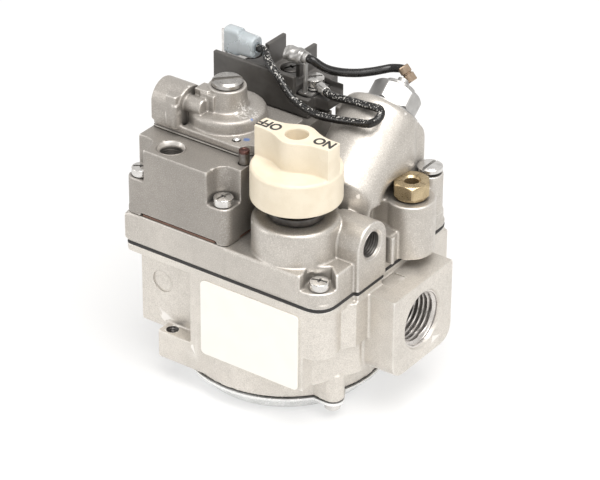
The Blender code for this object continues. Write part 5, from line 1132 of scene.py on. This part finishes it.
def connector():
    """The insulated spade: sections along X with half sizes in Y and Z and a corner radius."""
    y, z = CONNECTOR
    sections = [(-41.4, 2.3, 4.9, 1.6), (-41.1, 2.5, 5.1, 1.8), (-35.9, 2.5, 5.1, 1.8),
                (-35.4, 2.5, 4.9, 1.9), (-35.0, 2.7, 4.3, 2.2), (-34.4, 3.1, 4.1, 2.6),
                (-33.8, 3.2, 4.0, 2.7), (-29.6, 3.2, 3.9, 2.7), (-28.9, 3.15, 3.85, 2.7),
                (-28.4, 2.9, 3.6, 2.5)]
    rows = []
    for x, half_y, half_z, r in sections:
        round_off = min(r, half_y * 0.95)
        outline = rectangle(y - half_y, z - half_z, y + half_y, z + half_z, round_off, 6)
        rows.append([(x, a, b) for a, b in outline])
    room = box((-40.5, 19.8, 106.2), (-32.0, 22.2, 113.3))
    mouth = rod(2.0, -0.5, 6.0, (-28.2, y, z), -X, 32)
    sleeve = boolean(skin(rows), [room, mouth])
    piece("connector_sleeve", sleeve, "nylon", ["spade_connector"], sharp=30.0)
    blade = box((-40.2, 20.15, 106.5), (-33.5, 21.85, 113.0))
    blade = joined(blade, tube([(-33.4, y, z), (-32.4, y, z)], 1.4, 16))
    piece("connector_blade", blade, "zinc_steel")
    piece("tab_blade", pressed(cad("tab_terminal")), "zinc_steel", ["tab_terminal"])


def crimped_barrel():
    """The flag terminal's barrel, dented all over by the crimping tool."""
    start, length, steps, sides = -14.6, 7.4, 28, 40
    y, z = FLAG_BARREL
    rows = []
    for i in range(steps + 1):
        x, row = start + length * i / steps, []
        for j in range(sides):
            turn = 2 * math.pi * j / sides
            crease = 0.13 * math.sin(4 * turn + 0.5 * i) + 0.12 * math.sin(2 * turn - 0.37 * i)
            reach = (2.95 if 4 < i < 24 else 2.75) + crease
            row.append((x, y + reach * math.cos(turn), z + 0.95 * reach * math.sin(turn)))
        rows.append(row)
    return boolean(skin(rows), [rod(1.75, -16.0, -6.0, (0.0, y, z), X, 32)])


def flag_terminal():
    plate = cad("flag_terminal")
    for vert in plate.verts:
        if vert.co.z < 103.0:
            vert.co.z -= SHELF_DROP
    plate = boolean(plate, [box((-20.0, 10.0, 90.0), (-8.7, 40.0, 104.0))])
    flag = joined(pressed(plate), crimped_barrel())
    piece("flag_crimp", flag, "chrome", ["flag_terminal"])


def ring_terminal():
    eye = cad("ring_terminal")
    shifted(eye, (0.0, 0.0, -SHELF_DROP))
    piece("ring_eye", pressed(eye), "zinc_steel", ["ring_terminal"])


def crimp_sleeve():
    low, high = size("lead_sleeve")
    profile = soft([(0.0, -3.2), (1.95, -3.2, 0.25), (2.15, -2.8, 0.2), (2.15, -0.5, 0.2), (1.75, -0.25, 0.1),
                    (1.75, 0.1, 0.1), (2.2, 0.35, 0.2), (2.2, 2.9, 0.2), (2.0, 3.2, 0.2), (0.0, 3.2)])
    sleeve = turned(profile, (low + high) / 2 + Vector((0.2, 0.0, 0.5)), (0.68, 0.0, -0.733), 12)
    piece("crimp_sleeve", sleeve, "bronze", ["lead_sleeve"], sharp=25.0)


def dress_nodes():
    """The pieces that stay as their CAD solids take the same finishes."""
    for node in NODES.values():
        for i, material in enumerate(node.data.materials):
            node.material_slots[i].link = "OBJECT"
            node.material_slots[i].material = PAINTS[material.name.split(".")[0]].material


# Stage

FILL, GLOSS_FILL, FLOOR_GLOW = 0.42, 0.32, 0.58
FLOOR_RADIUS, FLOOR_GAP = 6.0, 0.0001


def world():
    """White to the camera and through clear plastic, and a soft fill for everything else."""
    made = bpy.data.worlds.new("studio")
    made.use_nodes = True
    SCENE.world = made
    tree = made.node_tree
    tree.nodes.clear()
    ray = add_node(tree, "LightPath").outputs
    either = {0: ray["Is Camera Ray"], 1: ray["Is Transmission Ray"]}
    seen = add_node(tree, "Math", either, operation="MAXIMUM").outputs[0]
    white = {"Strength": 1.0, "Color": (1.0, 1.0, 1.0, 1.0)}
    white = add_node(tree, "Background", white).outputs[0]
    terms = {0: ray["Is Glossy Ray"], 1: GLOSS_FILL, 2: FILL}
    strength = add_node(tree, "Math", terms, operation="MULTIPLY_ADD").outputs[0]
    fill = {"Strength": strength, "Color": (1.0, 0.99, 0.975, 1.0)}
    fill = add_node(tree, "Background", fill).outputs[0]
    mix = add_node(tree, "MixShader", {0: seen, 1: fill, 2: white}).outputs[0]
    add_node(tree, "OutputWorld", {"Surface": mix})


def lamp(name, place, aim_at, width, height, power, colour=(1.0, 1.0, 1.0)):
    data = bpy.data.lights.new(name, "AREA")
    data.shape = "RECTANGLE"
    data.size = width
    data.size_y = height
    data.energy = power
    data.color = colour
    made = bpy.data.objects.new(name, data)
    SCENE.collection.objects.link(made)
    place = Vector(place)
    turn = (Vector(aim_at) - place).to_track_quat("-Z", "Y").to_matrix().to_4x4()
    made.matrix_world = Matrix.Translation(place) @ turn


def floor_material():
    """A pale matt floor that is lifted towards white where it is seen."""
    material = bpy.data.materials.new("floor")
    material.use_nodes = True
    tree = material.node_tree
    tree.nodes.clear()
    grain = add_node(tree, "TexNoise", {"Scale": 40.0}).outputs["Fac"]
    tones = {MIX_FACTOR: grain, MIX_FIRST: (0.93, 0.925, 0.915, 1.0), MIX_SECOND: (0.95, 0.945, 0.935, 1.0)}
    tone = add_node(tree, "Mix", tones, data_type="RGBA").outputs[MIX_RESULT]
    diffuse = add_node(tree, "BsdfDiffuse", {"Color": tone}).outputs[0]
    glow = add_node(tree, "Emission", {"Strength": 1.0}).outputs[0]
    ray = add_node(tree, "LightPath").outputs
    seen = ray["Is Camera Ray"]
    for label in ("Is Glossy Ray", "Is Transmission Ray"):
        seen = add_node(tree, "Math", {0: seen, 1: ray[label]}, operation="MAXIMUM").outputs[0]
    share = add_node(tree, "Math", {0: seen, 1: FLOOR_GLOW}, operation="MULTIPLY").outputs[0]
    mix = add_node(tree, "MixShader", {0: share, 1: diffuse, 2: glow}).outputs[0]
    add_node(tree, "OutputMaterial", {"Surface": mix})
    return material


def floor():
    bm = bmesh.new()
    bmesh.ops.create_circle(bm, cap_ends=True, radius=FLOOR_RADIUS, segments=64)
    mesh = bpy.data.meshes.new("floor")
    bm.to_mesh(mesh)
    bm.free()
    made = bpy.data.objects.new("floor", mesh)
    SCENE.collection.objects.link(made)
    made.location.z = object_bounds()[0][2] - FLOOR_GAP
    mesh.materials.append(floor_material())
    made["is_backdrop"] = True


def studio():
    SCENE.view_settings.view_transform = "Standard"
    world()
    lamp("top_soft", (0.35, -0.20, 1.25), (0.0, 0.0, 0.05), 1.0, 1.0, 18.0, (1.0, 0.985, 0.965))
    lamp("left_soft", (-1.0, -0.95, 0.5), (0.0, 0.0, 0.06), 0.5, 0.9, 3.2, (1.0, 0.99, 0.975))
    lamp("right_soft", (1.15, -0.25, 0.75), (0.0, 0.0, 0.08), 0.7, 0.9, 3.0, (1.0, 0.99, 0.975))
    floor()


camera()
leads()
castings()
threads()
screws()
magnet_nut()
pilot_nut()
regulator_cap()
pilot_screw()
pins_and_rivets()
stem_bushing()
springs()
gaskets()
pan()
label()
knob()
knob_print()
terminal_moulding()
connector()
flag_terminal()
ring_terminal()
crimp_sleeve()
dress_nodes()
studio()
